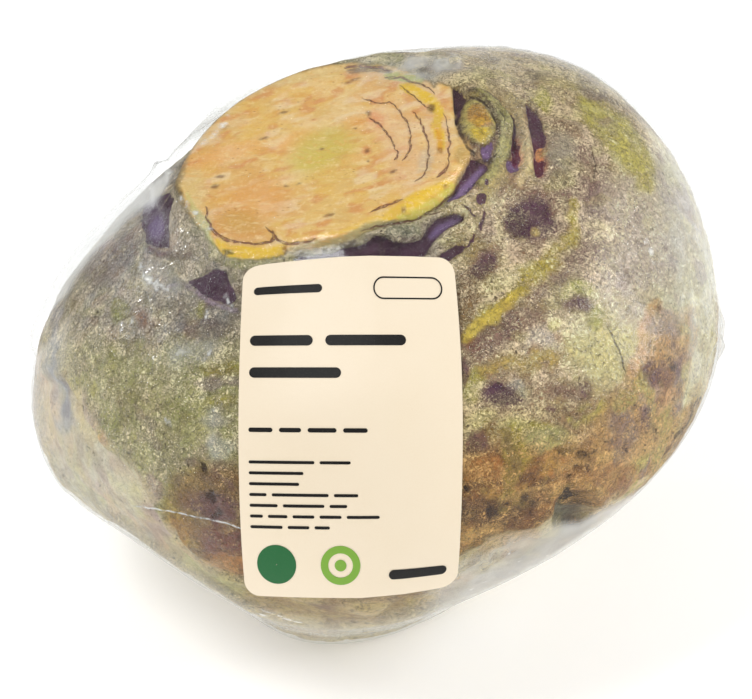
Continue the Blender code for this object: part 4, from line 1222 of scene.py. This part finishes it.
def film_material():
    g = Graph("clear_shrink_film")
    p = g.position()
    cover = g.attribute("cover")
    parts = g.node("ShaderNodeSeparateColor", {"Color": cover.outputs["Color"]})
    # the second channel is the film's haze together with its painted highlights
    crinkle, milk_and_glints = parts.outputs[0], parts.outputs[1]
    # the fine weld line, a little broken along its length
    sway = g.math("MULTIPLY", g.math("SUBTRACT", g.noise(p, 0.35, 2, 0.6), 0.5), 3.0)
    weld = g.ramp(g.math("ABSOLUTE", g.math("ADD", g.attribute("across").outputs["Fac"], sway)), 0.35, 1.15, 1.0, 0.0)
    weld = g.math("MULTIPLY", weld, g.math("MULTIPLY", parts.outputs[2], g.ramp(g.noise(p, 0.8, 2, 0.6), 0.38, 0.56, 0.35, 1.0)))

    # sharp small creases where the film is gathered
    sharp = g.ramp(g.math("ABSOLUTE", g.math("SUBTRACT", g.noise(p, 0.42, 2, 0.6, 1.6), 0.5)), 0.0, 0.07, 1.0, 0.0)
    sharp2 = g.ramp(g.math("ABSOLUTE", g.math("SUBTRACT", g.noise(p, 0.95, 1, 0.6, 1.2), 0.5)), 0.0, 0.06, 1.0, 0.0)
    nicks = g.math("MULTIPLY", g.math("MAXIMUM", sharp, sharp2), crinkle)
    height = g.math("ADD", g.math("MULTIPLY", nicks, 0.6), g.math("MULTIPLY", weld, 1.0))
    bump = g.node("ShaderNodeBump", {"Height": height, "Distance": 0.0004, "Strength": 0.6})

    # clear where it is looked through squarely, whiter and shinier edge on
    edge = g.node("ShaderNodeLayerWeight", {"Blend": 0.5}).outputs["Facing"]
    gloss_edge = g.node("ShaderNodeLayerWeight", {"Blend": 0.5, "Normal": bump.outputs[0]}).outputs["Facing"]
    rim = cover.outputs["Alpha"]
    haze = g.math("MULTIPLY", g.math("POWER", edge, 8.0), g.math("MULTIPLY", rim, 0.6))
    # where it stands off the skin it is hazy along its slope and clear through it
    haze = g.math("ADD", haze, g.math("MAXIMUM", milk_and_glints, g.math("MULTIPLY", g.attribute("standing").outputs["Fac"], g.ramp(edge, 0.22, 0.56, 0.15, 1.0))))
    haze = g.math("ADD", haze, g.math("MULTIPLY", nicks, 0.03))
    haze = g.math("ADD", haze, g.math("MULTIPLY", weld, 0.72), clamp=True)
    shine = g.math("ADD", g.math("MULTIPLY", g.math("POWER", gloss_edge, 5.0), g.math("MULTIPLY", rim, 0.62)), 0.026, clamp=True)

    clear = g.node("ShaderNodeBsdfTransparent", {"Color": (0.985, 0.99, 0.985)})
    body = g.node("ShaderNodeBsdfPrincipled", {"Base Color": rgb(230, 232, 229), "Roughness": 0.32, "Normal": bump.outputs[0], "Specular IOR Level": 0.5})
    gloss = g.node("ShaderNodeBsdfGlossy", {"Color": (0.96, 0.97, 0.98), "Roughness": 0.10, "Normal": bump.outputs[0]})
    inner = g.node("ShaderNodeMixShader", {0: haze, 1: clear.outputs[0], 2: body.outputs[0]})
    both = g.node("ShaderNodeMixShader", {0: shine, 1: inner.outputs[0], 2: gloss.outputs[0]})
    return g.finish(both.outputs[0])


def paper_material():
    g = Graph("label_paper_coated")
    p = g.position()
    grain = g.noise(p, 3.5, 4, 0.6)
    cloud = g.noise(p, 0.07, 2, 0.5)
    colour = g.mix(g.ramp(grain, 0.35, 0.7, 0.0, 0.35), rgb(243, 227, 200), rgb(239, 221, 192))
    colour = g.mix(g.ramp(cloud, 0.3, 0.7, 0.0, 0.4), colour, rgb(245, 230, 206))
    bump = g.node("ShaderNodeBump", {"Height": g.noise(p, 5.0, 3, 0.6), "Distance": 0.00002, "Strength": 0.5})
    shader = g.node("ShaderNodeBsdfPrincipled", {"Base Color": colour, "Roughness": g.ramp(grain, 0.2, 0.8, 0.42, 0.52), "Normal": bump.outputs[0], "Specular IOR Level": 0.4})
    return g.finish(shader.outputs[0])


def ink_material(name, colour):
    g = Graph(name)
    p = g.position()
    worn = g.noise(p, 6.0, 3, 0.6)
    tone = g.mix(g.ramp(worn, 0.5, 0.85, 0.0, 0.18), rgb(*colour), g.mix(0.25, rgb(*colour), rgb(240, 225, 200)))
    shader = g.node("ShaderNodeBsdfPrincipled", {"Base Color": tone, "Roughness": 0.5, "Specular IOR Level": 0.2})
    return g.finish(shader.outputs[0])


def floor_material():
    g = Graph("pale_floor")
    p = g.position()
    tone = g.mix(g.ramp(g.noise(p, 0.02, 3), 0.3, 0.7, 0.0, 1.0), rgb(250, 250, 250), rgb(252, 252, 252))
    shader = g.node("ShaderNodeBsdfPrincipled", {"Base Color": tone, "Roughness": 0.75, "Specular IOR Level": 0.15, "Emission Color": (1.0, 1.0, 1.0), "Emission Strength": 0.30})
    return g.finish(shader.outputs[0])


# ---------------------------------------------------------------- the pieces
def unhidden(P, normals, facing, tris, eye):
    """1 where the front is in plain sight, 0 where the root's own belly hangs over it, softly blended."""
    D, coarse = geodesic(44)
    ball = CENTRE + D * root_radius(D)[:, None]
    tree = BVHTree.FromPolygons([Vector(p) for p in ball], [tuple(int(i) for i in t) for t in coarse])
    hidden = np.zeros(len(P))
    for i in np.flatnonzero(facing > 0):
        way = Vector(eye - P[i]).normalized()
        hidden[i] = tree.ray_cast(Vector(P[i] + 2.0 * normals[i]), way)[0] is not None
    return np.clip(1 - 1.5 * neighbours_mean(hidden, tris, 6), 0, 1)


def make_root(D, tris, smooth_r):
    P0 = CENTRE + D * smooth_r[:, None]
    back = stencil_frame()[0]
    n0 = normals_of(P0, tris)
    eye = np.array(VIEW_TARGET) + back * VIEW_DISTANCE
    facing = np.einsum("ij,ij->i", n0, unit(eye - P0))
    front = ease(facing, 0.0, 0.16)
    plain = front * unhidden(P0, n0, facing, tris, eye)
    up = n0 @ unit(CROWN_TILT)
    q0 = stencil(P0)
    r = smooth_r + root_relief(P0, q0, plain, up)
    r = soft_min(r, level_radius(D, FILM_THICKNESS + GAP), 1.0)
    P = CENTRE + D * r[:, None]
    coat, covers, mottle, tint, calm = paint_root(P0, q0, plain, up)
    colour = np.concatenate([coat, np.ones((len(P), 1))], 1)
    piece = mesh_piece("rutabaga_grown", P, tris, skin_material(), (
        ("tone", "FLOAT_COLOR", colour), ("cover", "FLOAT_COLOR", covers), ("mottle", "FLOAT_COLOR", mottle), ("front", "FLOAT", plain), ("tint", "FLOAT_COLOR", tint),
        ("calm", "FLOAT", calm)))
    return piece, r, facing, front


# painted highlights: short white strokes of haze where the film's creases would glint, from x, y to x, y, half width
GLINTS = [
    (141, 264, 142, 276, 1.7), (146, 277, 158, 283, 2.6), (150, 283, 156, 288, 1.6), (203, 300, 205, 320, 1.0), (119, 322, 131, 334, 1.2), (158, 280, 166, 288, 1.6), (168, 283, 171, 300, 1.4),
    (121, 329, 134, 318, 1.3), (125, 339, 135, 331, 1.2), (174, 359, 184, 350, 1.8), (186, 357, 193, 352, 1.5),
    (196, 362, 210, 354, 1.6), (183, 199, 186, 205, 1.6), (191, 208, 196, 213, 1.5), (204, 225, 212, 231, 1.4),
    (226, 296, 230, 310, 1.2), (166, 420, 176, 426, 1.1), (196, 398, 210, 394, 1.2), (212, 408, 222, 405, 1.1),
    (150, 190, 172, 166, 2.0), (196, 150, 230, 118, 1.8), (92, 232, 112, 206, 1.4), (650, 250, 655, 262, 1.4),
    (641, 248, 647, 240, 1.2), (520, 560, 548, 556, 1.3), (470, 590, 500, 578, 1.5), (150, 552, 166, 566, 1.3),
    (120, 540, 132, 550, 1.1), (262, 612, 300, 622, 1.4), (590, 540, 612, 532, 1.2), (505, 540, 512, 560, 1.0),
]


def make_film(D, tris, smooth_r, fine_r, facing, front):
    taut = taut_radius(D)
    lift = np.maximum(taut - smooth_r, 0)
    r = smooth_r + GAP + FILM_TENSION * lift + 0.15
    P0 = CENTRE + D * r[:, None]
    q0 = stencil(P0)
    label = blob(q0, 349, 428, 128, 190, 0, 0.08)
    free = ease(lift, 0.15, 1.5)
    spots = front * np.maximum.reduce([
        blob(q0, 178, 315, 52, 62, 0, 0.6), blob(q0, 205, 225, 34, 22, 0, 0.5),
        blob(q0, 718, 335, 12, 34, 0, 0.6), blob(q0, 215, 520, 30, 40, 0, 0.6),
        0.6 * blob(q0, 480, 580, 60, 40, 0, 0.6), 0.7 * blob(q0, 120, 470, 70, 50, 0, 0.6)])
    crinkle = np.clip(0.16 + 0.5 * free + 0.8 * spots + 0.2 * fbm(P0, 18, 2, 201), 0, 1) * (1 - label)
    small = np.maximum(np.abs(noise(P0, 6, 203)), 0)
    wrinkle = 0.16 * fbm(P0, 11, 3, 202) + crinkle * (0.20 * (0.5 - small) + 0.13 * noise(P0, 2.6, 204))
    # it stands off along the far left rim of the cut and on to the shoulder, and draws in low on the left
    wrinkle = wrinkle - 0.7 * stroke(q0, LOWER_LEFT_DRAW, soft=0.9)
    wrinkle = wrinkle + 2.2 * stroke(q0, [(34, 344, 6), (46, 312, 12), (60, 288, 15), (78, 262, 16), (102, 238, 16), (128, 214, 15), (150, 194, 11), (166, 174, 7)], soft=0.9)
    wrinkle = wrinkle + 1.7 * stroke(q0, [(166, 204, 6), (180, 160, 9), (204, 128, 9), (236, 98, 9), (276, 74, 8), (304, 66, 5)], soft=0.9)
    wrinkle = wrinkle + spots * (0.30 * ridges(P0, 5.0, 211, 0.25) + 0.20 * ridges(P0, 2.6, 212, 0.3))
    r = r + wrinkle * (1 - label)
    # the crumple on the right edge
    P1 = CENTRE + D * r[:, None]
    ear = front * blob(stencil(P1), 716, 336, 14, 26, 0, 0.5)
    r = r + ear * (0.9 + 0.7 * noise(P1, 3.0, 205) + 0.4 * noise(P1, 1.4, 206))
    cling = np.maximum(neighbours_mean(fine_r, tris, 3), fine_r)
    r = np.maximum(r, cling + 0.2)
    r = np.minimum(r, level_radius(D, 0.05))
    P = CENTRE + D * r[:, None]
    q = stencil(P)
    # the film's haze; the patches at (158, 280) and (190, 352) are painted highlights where its crinkles glare, and the
    # streak up the left rim of the cut is haze with a painted highlight along it
    milk_and_glints = front * np.maximum.reduce([
        0.07 * ease(below_left(q), 4, 40),
        0.16 * blob(q, 40, 330, 24, 120, 0, 0.6), 0.26 * blob(q, 704, 240, 34, 150, 0, 0.7),
        0.34 * stroke(q, [(150, 184, 8), (186, 140, 9), (230, 98, 8), (290, 68, 6)]),
        0.40 * blob(q, 420, 66, 60, 14, 6, 0.6), 0.14 * stroke(q, [(60, 260, 14), (110, 200, 14), (150, 175, 10)]),
        0.40 * blob(q, 158, 280, 18, 12, -25, 0.7), 0.26 * blob(q, 190, 352, 24, 10, 15, 0.9), 0.3 * blob(q, 217, 430, 10, 24, 0, 0.7),
        0.22 * blob(q, 148, 176, 12, 26, -40, 0.7)])
    milk_and_glints = milk_and_glints * (0.35 + 0.65 * ease(fbm(P, 6, 3, 207), -0.30, 0.30)) * (0.65 + 0.7 * ridges(P, 2.2, 213, 0.5))
    # hazier and smoother where it bridges the shoulder and the hollow low on the right
    tent = stroke(q + 3.0 * noise(P, 7, 216)[:, None], [(34, 346, 3), (45, 314, 6), (61, 286, 7), (79, 260, 8), (102, 237, 8), (127, 214, 8), (150, 193, 8), (166, 172, 6)], soft=0.55)
    standing = 0.58 * ease(facing, -0.05, 0.05) * tent
    bridge = front * ease(below_right(q), 1, 13) * ease(q[:, 0], 410, 460)
    standing = np.maximum(standing, 0.56 * bridge * (0.72 + 0.28 * ease(fbm(P, 9, 2, 214), -0.3, 0.3))) * (1 - label)
    milk_and_glints = milk_and_glints * (1 - label)
    broken = ease(noise(P, 1.3, 209), -0.35, 0.45)
    bent = q + np.stack([3.2 * noise(P, 1.9, 208), 3.2 * noise(P, 1.9, 215)], 1)
    # painted highlights: each glint stroke is laid into the film's haze as white
    for glint in GLINTS:
        milk_and_glints = np.maximum(milk_and_glints, front * 0.78 * broken * stroke(bent, [glint[:2], glint[2:4]], glint[4], 0.7))
    # the weld: how far across it, and how much of it shows
    across = q[:, 1] - np.interp(q[:, 0], (100, 137, 150, 163, 176, 189, 204, 218, 230, 250), (503, 506.5, 508, 510, 512.5, 515.5, 518.5, 521, 524.5, 531))
    weld = front * ease(q[:, 0], 128, 146) * (1 - ease(q[:, 0], 242, 250)) * (np.abs(across) < 9)
    # where it clings to the browned skin low on the right and below the label it stays clear to the edge
    rim = 1 - 0.75 * front * np.maximum(ease(q[:, 0], 440, 500) * ease(q[:, 1], 330, 420), 0.6 * blob(q, 320, 615, 130, 40, 0, 0.4))
    # and over the flat of the cut
    rim = rim * (1 - 0.75 * ease(P @ unit(CROWN_TILT) - np.dot(CENTRE, unit(CROWN_TILT)), 45, 47.5))
    covers = np.clip(np.stack([crinkle, milk_and_glints, weld, rim], 1), 0, 1)

    # the punched vent
    way = direction(VENT_AZIMUTH, VENT_ELEVATION)
    middle = P[(D @ way).argmax()]
    keep = np.linalg.norm(P[tris].mean(1) - middle, axis=1) > VENT_RADIUS
    used = np.unique(tris[keep])
    renumber = np.full(len(P), -1)
    renumber[used] = np.arange(len(used))
    # draw the vent's ragged edge onto its circle
    rim = np.linalg.norm(P - middle, axis=1)
    flat = P - middle - ((P - middle) @ way)[:, None] * way
    onto = (rim < VENT_RADIUS * 1.35) & np.isin(np.arange(len(P)), np.intersect1d(tris[keep], tris[~keep]))
    P[onto] = P[onto] + flat[onto] * (VENT_RADIUS * 1.12 / np.linalg.norm(flat[onto], axis=1, keepdims=True) - 1)
    piece = mesh_piece("film_wrap", P[used], renumber[tris[keep]], film_material(), (
        ("cover", "FLOAT_COLOR", covers[used]), ("across", "FLOAT", np.clip(across, -12, 12)[used]),
        ("standing", "FLOAT", standing[used])))
    return piece, r


def label_surface(film_r_smooth):
    """A tree of the smooth surface that the label lies on."""
    D, tris = geodesic(44)
    r0 = root_radius(D)
    r = r0 + GAP + FILM_TENSION * np.maximum(taut_radius(D) - r0, 0) + film_r_smooth
    return BVHTree.FromPolygons([Vector(p) for p in D * r[:, None]], [tuple(int(i) for i in t) for t in tris])


def label_bend(u, v):
    """The square-on outline as it lies on the belly: arched at the top, drawn up at the lower right corner."""
    top = np.interp(u, (-20.3, -16, -11, -2, 4, 12, 20.3), (-1.5, -0.8, -0.3, 0.45, 0.62, 0.5, 0.2))
    low = np.interp(u, (-20.3, -8, 2, 10, 17, 20.3), (-0.5, -0.5, -0.45, 0.3, 1.4, 2.3))
    far = v / (LABEL_HEIGHT / 2)
    narrow = far**2
    if u > 0:
        u = u * (1 - (0.075 if v > 0 else 0.03) * narrow)
    else:
        u = u * (1 - 0.03 * narrow)
    return u, v + (top * abs(far) ** 4 if v > 0 else low * abs(far) ** 3)


def label_point(tree, u, v, lift):
    u, v = label_bend(u, v)
    tilt = radians(LABEL_TILT)
    facing = Vector((0, -cos(tilt), sin(tilt)))
    rise = Vector((0, sin(tilt), cos(tilt)))
    start = Vector((LABEL_X + u, 0, 0)) + rise * (LABEL_RISE + v) + facing * 200
    hit, _, _, _ = tree.ray_cast(start, -facing)
    return np.array(hit + hit.normalized() * lift) + CENTRE


def grid_patch(tree, outline_rows, lift):
    """Points and triangles of a patch given as rows of (u, v)."""
    pts = [label_point(tree, u, v, lift) for row in outline_rows for u, v in row]
    across = len(outline_rows[0])
    tris = []
    for j in range(len(outline_rows) - 1):
        for i in range(across - 1):
            a = j * across + i
            tris += [(a, a + 1, a + across + 1), (a, a + across + 1, a + across)]
    return np.array(pts), np.array(tris)


def rounded_rows(width, height, corner, columns, rows, u0=0.0, v0=0.0, bulge=0.0):
    """Rows of (u, v) over a rounded rectangle round (u0, v0)."""
    hw, hh, c = width / 2, height / 2, corner
    turns = [radians(90 * k / 7) for k in range(1, 8)]
    levels = [(-hh + c - c * sin(t), hw - c + c * cos(t)) for t in reversed(turns)]
    levels += [(-hh + c + (height - 2 * c) * j / rows, hw) for j in range(rows + 1)]
    levels += [(hh - c + c * sin(t), hw - c + c * cos(t)) for t in turns]
    out = []
    for v, w in levels:
        w = max(w, hw * 0.02) + bulge * (1 - (v / hh) ** 2)
        out.append([(u0 - w + 2 * w * i / columns, v0 + v) for i in range(columns + 1)])
    return out


LABEL_LIFT = 0.10
LABEL_SHEET = 0.12


def make_label(tree):
    rows = rounded_rows(LABEL_WIDTH, LABEL_HEIGHT, LABEL_CORNER, 44, 66)
    low, tris = grid_patch(tree, rows, LABEL_LIFT)
    high, _ = grid_patch(tree, rows, LABEL_LIFT + LABEL_SHEET)
    n, across, down = len(low), len(rows[0]), len(rows)
    rim = [i for i in range(across)] + [j * across + across - 1 for j in range(1, down)]
    rim += [(down - 1) * across + i for i in range(across - 2, -1, -1)] + [j * across for j in range(down - 2, 0, -1)]
    walls = []
    for a, b in zip(rim, rim[1:] + rim[:1]):
        walls += [(a, b, n + b), (a, n + b, n + a)]
    faces = np.concatenate([tris + n, tris[:, ::-1], np.array(walls)])
    piece = mesh_piece("label_sheet", np.concatenate([low, high]), faces, paper_material())
    piece.data.set_sharp_from_angle(angle=radians(50))
    return piece


def bar_rows(u0, v0, width, height):
    """A bar with round ends, as columns across its length."""
    c = height / 2
    steps = [(-width / 2 + c - c * cos(t), c * sin(t)) for t in [radians(90 * k / 6) for k in range(7)]]
    steps = [(x, max(y, 0.04 * c)) for x, y in steps]
    number = max(2, int(width / 1.2))
    straight = [(-width / 2 + c + (width - 2 * c) * k / number, c) for k in range(1, number)]
    cols = steps + straight + [(-x, y) for x, y in reversed(steps)]
    return [[(u0 + x, v0 - h + 2 * h * j / 4) for x, h in cols] for j in range(5)]


def disc_rows(u0, v0, radius, inner=0.0):
    out = []
    for j in range(5):
        r = inner + (radius - inner) * (j / 4) if inner else radius * max(j / 4, 0.02)
        out.append([(u0 + r * cos(2 * pi * k / 48), v0 + r * sin(2 * pi * k / 48)) for k in range(49)])
    return out


def pill_rows(u0, v0, width, height, line):
    out = []
    for j in range(3):
        grow = -line * j / 2
        hw, c = width / 2 + grow, height / 2 + grow
        ring = []
        for k in range(25):
            t = -pi / 2 + pi * k / 24
            ring.append((u0 + hw - c + c * cos(t), v0 + c * sin(t)))
        for k in range(25):
            t = pi / 2 + pi * k / 24
            ring.append((u0 - hw + c + c * cos(t), v0 + c * sin(t)))
        ring.append(ring[0])
        out.append(ring)
    return out


def make_prints(tree):
    lift = LABEL_LIFT + LABEL_SHEET + 0.06

    def at(x, y):
        """Stencil place on the label, as (u, v) millimetres from its middle."""
        return (x - 350) / 4.99, (427 - y) / 5.30

    inks = {"print_dark": (16, 15, 14), "print_green": (34, 104, 56), "print_leaf": (126, 172, 62)}
    shapes = {key: [] for key in inks}

    def bar(ink, x0, x1, y, thick):
        u0, v = at(x0, y)
        u1, _ = at(x1, y)
        shapes[ink].append(bar_rows((u0 + u1) / 2, v, u1 - u0, thick))

    def words(x, y, thick, *lengths):
        for length in lengths:
            bar("print_dark", x, x + length, y, thick)
            x += length + 2 + 5 * thick

    words(260, 291, 1.5, 64)
    words(258, 341, 1.9, 58, 74)
    words(258, 372, 1.9, 84)
    words(258, 427, 0.8, 22, 20, 26, 22)
    for k, lengths in enumerate(((60, 28), (50,), (46,), (16, 52, 22), (26, 38, 16), (12, 18, 20, 20, 30), (30, 20, 14))):
        words(258, 458 + 10.5 * k, 0.55, *lengths)
    u, v = at(405, 292)
    shapes["print_dark"].append(pill_rows(u, v, 13.2, 4.0, 0.28))
    u, v = at(281, 558)
    shapes["print_green"].append(disc_rows(u, v, 3.7))
    u, v = at(341, 558)
    shapes["print_leaf"].append(disc_rows(u, v, 3.7, 2.3))
    shapes["print_leaf"].append(disc_rows(u, v, 1.1))
    bar("print_dark", 386, 440, 569, 1.9)
    out = []
    for key, patches in shapes.items():
        points, faces, count = [], [], 0
        for rows in patches:
            p, t = grid_patch(tree, rows, lift)
            points.append(p)
            faces.append(t + count)
            count += len(p)
        P, T = np.concatenate(points), np.concatenate(faces)
        n = normals_of(P, T)
        if (n @ stencil_frame()[0]).mean() < 0:
            T = T[:, ::-1]
        out.append(mesh_piece(key, P, T, ink_material("ink_" + key[6:], inks[key])))
    return out


def make_stage():
    bpy.ops.mesh.primitive_plane_add(size=6.0, location=(0, 0, 0))
    floor = bpy.context.object
    floor.name = "floor"
    floor.data.materials.append(floor_material())

    world = bpy.data.worlds.new("studio")
    bpy.context.scene.world = world
    world.use_nodes = True
    world.node_tree.nodes["Background"].inputs["Color"].default_value = (1.0, 1.0, 1.0, 1.0)
    world.node_tree.nodes["Background"].inputs["Strength"].default_value = 0.50

    def area(name, place, target, size, power, colour=(1, 1, 1)):
        data = bpy.data.lights.new(name, "AREA")
        data.shape, data.size, data.size_y = "RECTANGLE", size[0], size[1]
        data.energy = power
        data.color = colour
        obj = bpy.data.objects.new(name, data)
        obj.location = place
        obj.rotation_mode = "QUATERNION"
        obj.rotation_quaternion = (Vector(target) - Vector(place)).to_track_quat("-Z", "Y")
        bpy.context.scene.collection.objects.link(obj)
        return obj

    area("key", (-0.45, -0.35, 1.0), (0, 0, 0.06), (0.30, 0.30), 5.0)
    area("fill", (0.95, 0.02, 0.5), (0, 0, 0.06), (0.3, 0.8), 6.0)
    # two small lamps that the creases of the film glint in
    area("glint_left", (-0.85, 0.32, 0.34), (-0.03, -0.02, 0.08), (0.06, 0.06), 0.8)
    area("glint_right", (0.74, 0.34, 0.50), (0.04, -0.01, 0.08), (0.06, 0.06), 0.3)

    camera = bpy.data.cameras.new("camera")
    camera.lens, camera.sensor_width = LENS, SENSOR
    obj = bpy.data.objects.new("camera", camera)
    back = stencil_frame()[0]
    place = (np.array(VIEW_TARGET) + back * VIEW_DISTANCE) / 1000.0
    obj.location = Vector(place)
    obj.rotation_mode = "QUATERNION"
    obj.rotation_quaternion = Vector(-back).to_track_quat("-Z", "Y")
    camera.clip_start, camera.clip_end = 0.01, 20
    bpy.context.scene.collection.objects.link(obj)
    bpy.context.scene.camera = obj
    bpy.context.scene.view_settings.view_transform = "Standard"


make_stage()
D, TRIS = geodesic(MESH_FREQUENCY)
D = crowd(D, MESH_FOCUS, MESH_ZOOM)
SMOOTH = root_radius(D)
ROOT, FINE, FACING, FRONT = make_root(D, TRIS, SMOOTH)
FILM, FILM_R = make_film(D, TRIS, SMOOTH, FINE, FACING, FRONT)
TREE = label_surface(0.30)
LABEL = make_label(TREE)
PRINTS = make_prints(TREE)

for piece in [ROOT, FILM, LABEL] + PRINTS:
    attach(piece, "root")
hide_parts("rutabaga")
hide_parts("shrink_film")
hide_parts("paper_label")
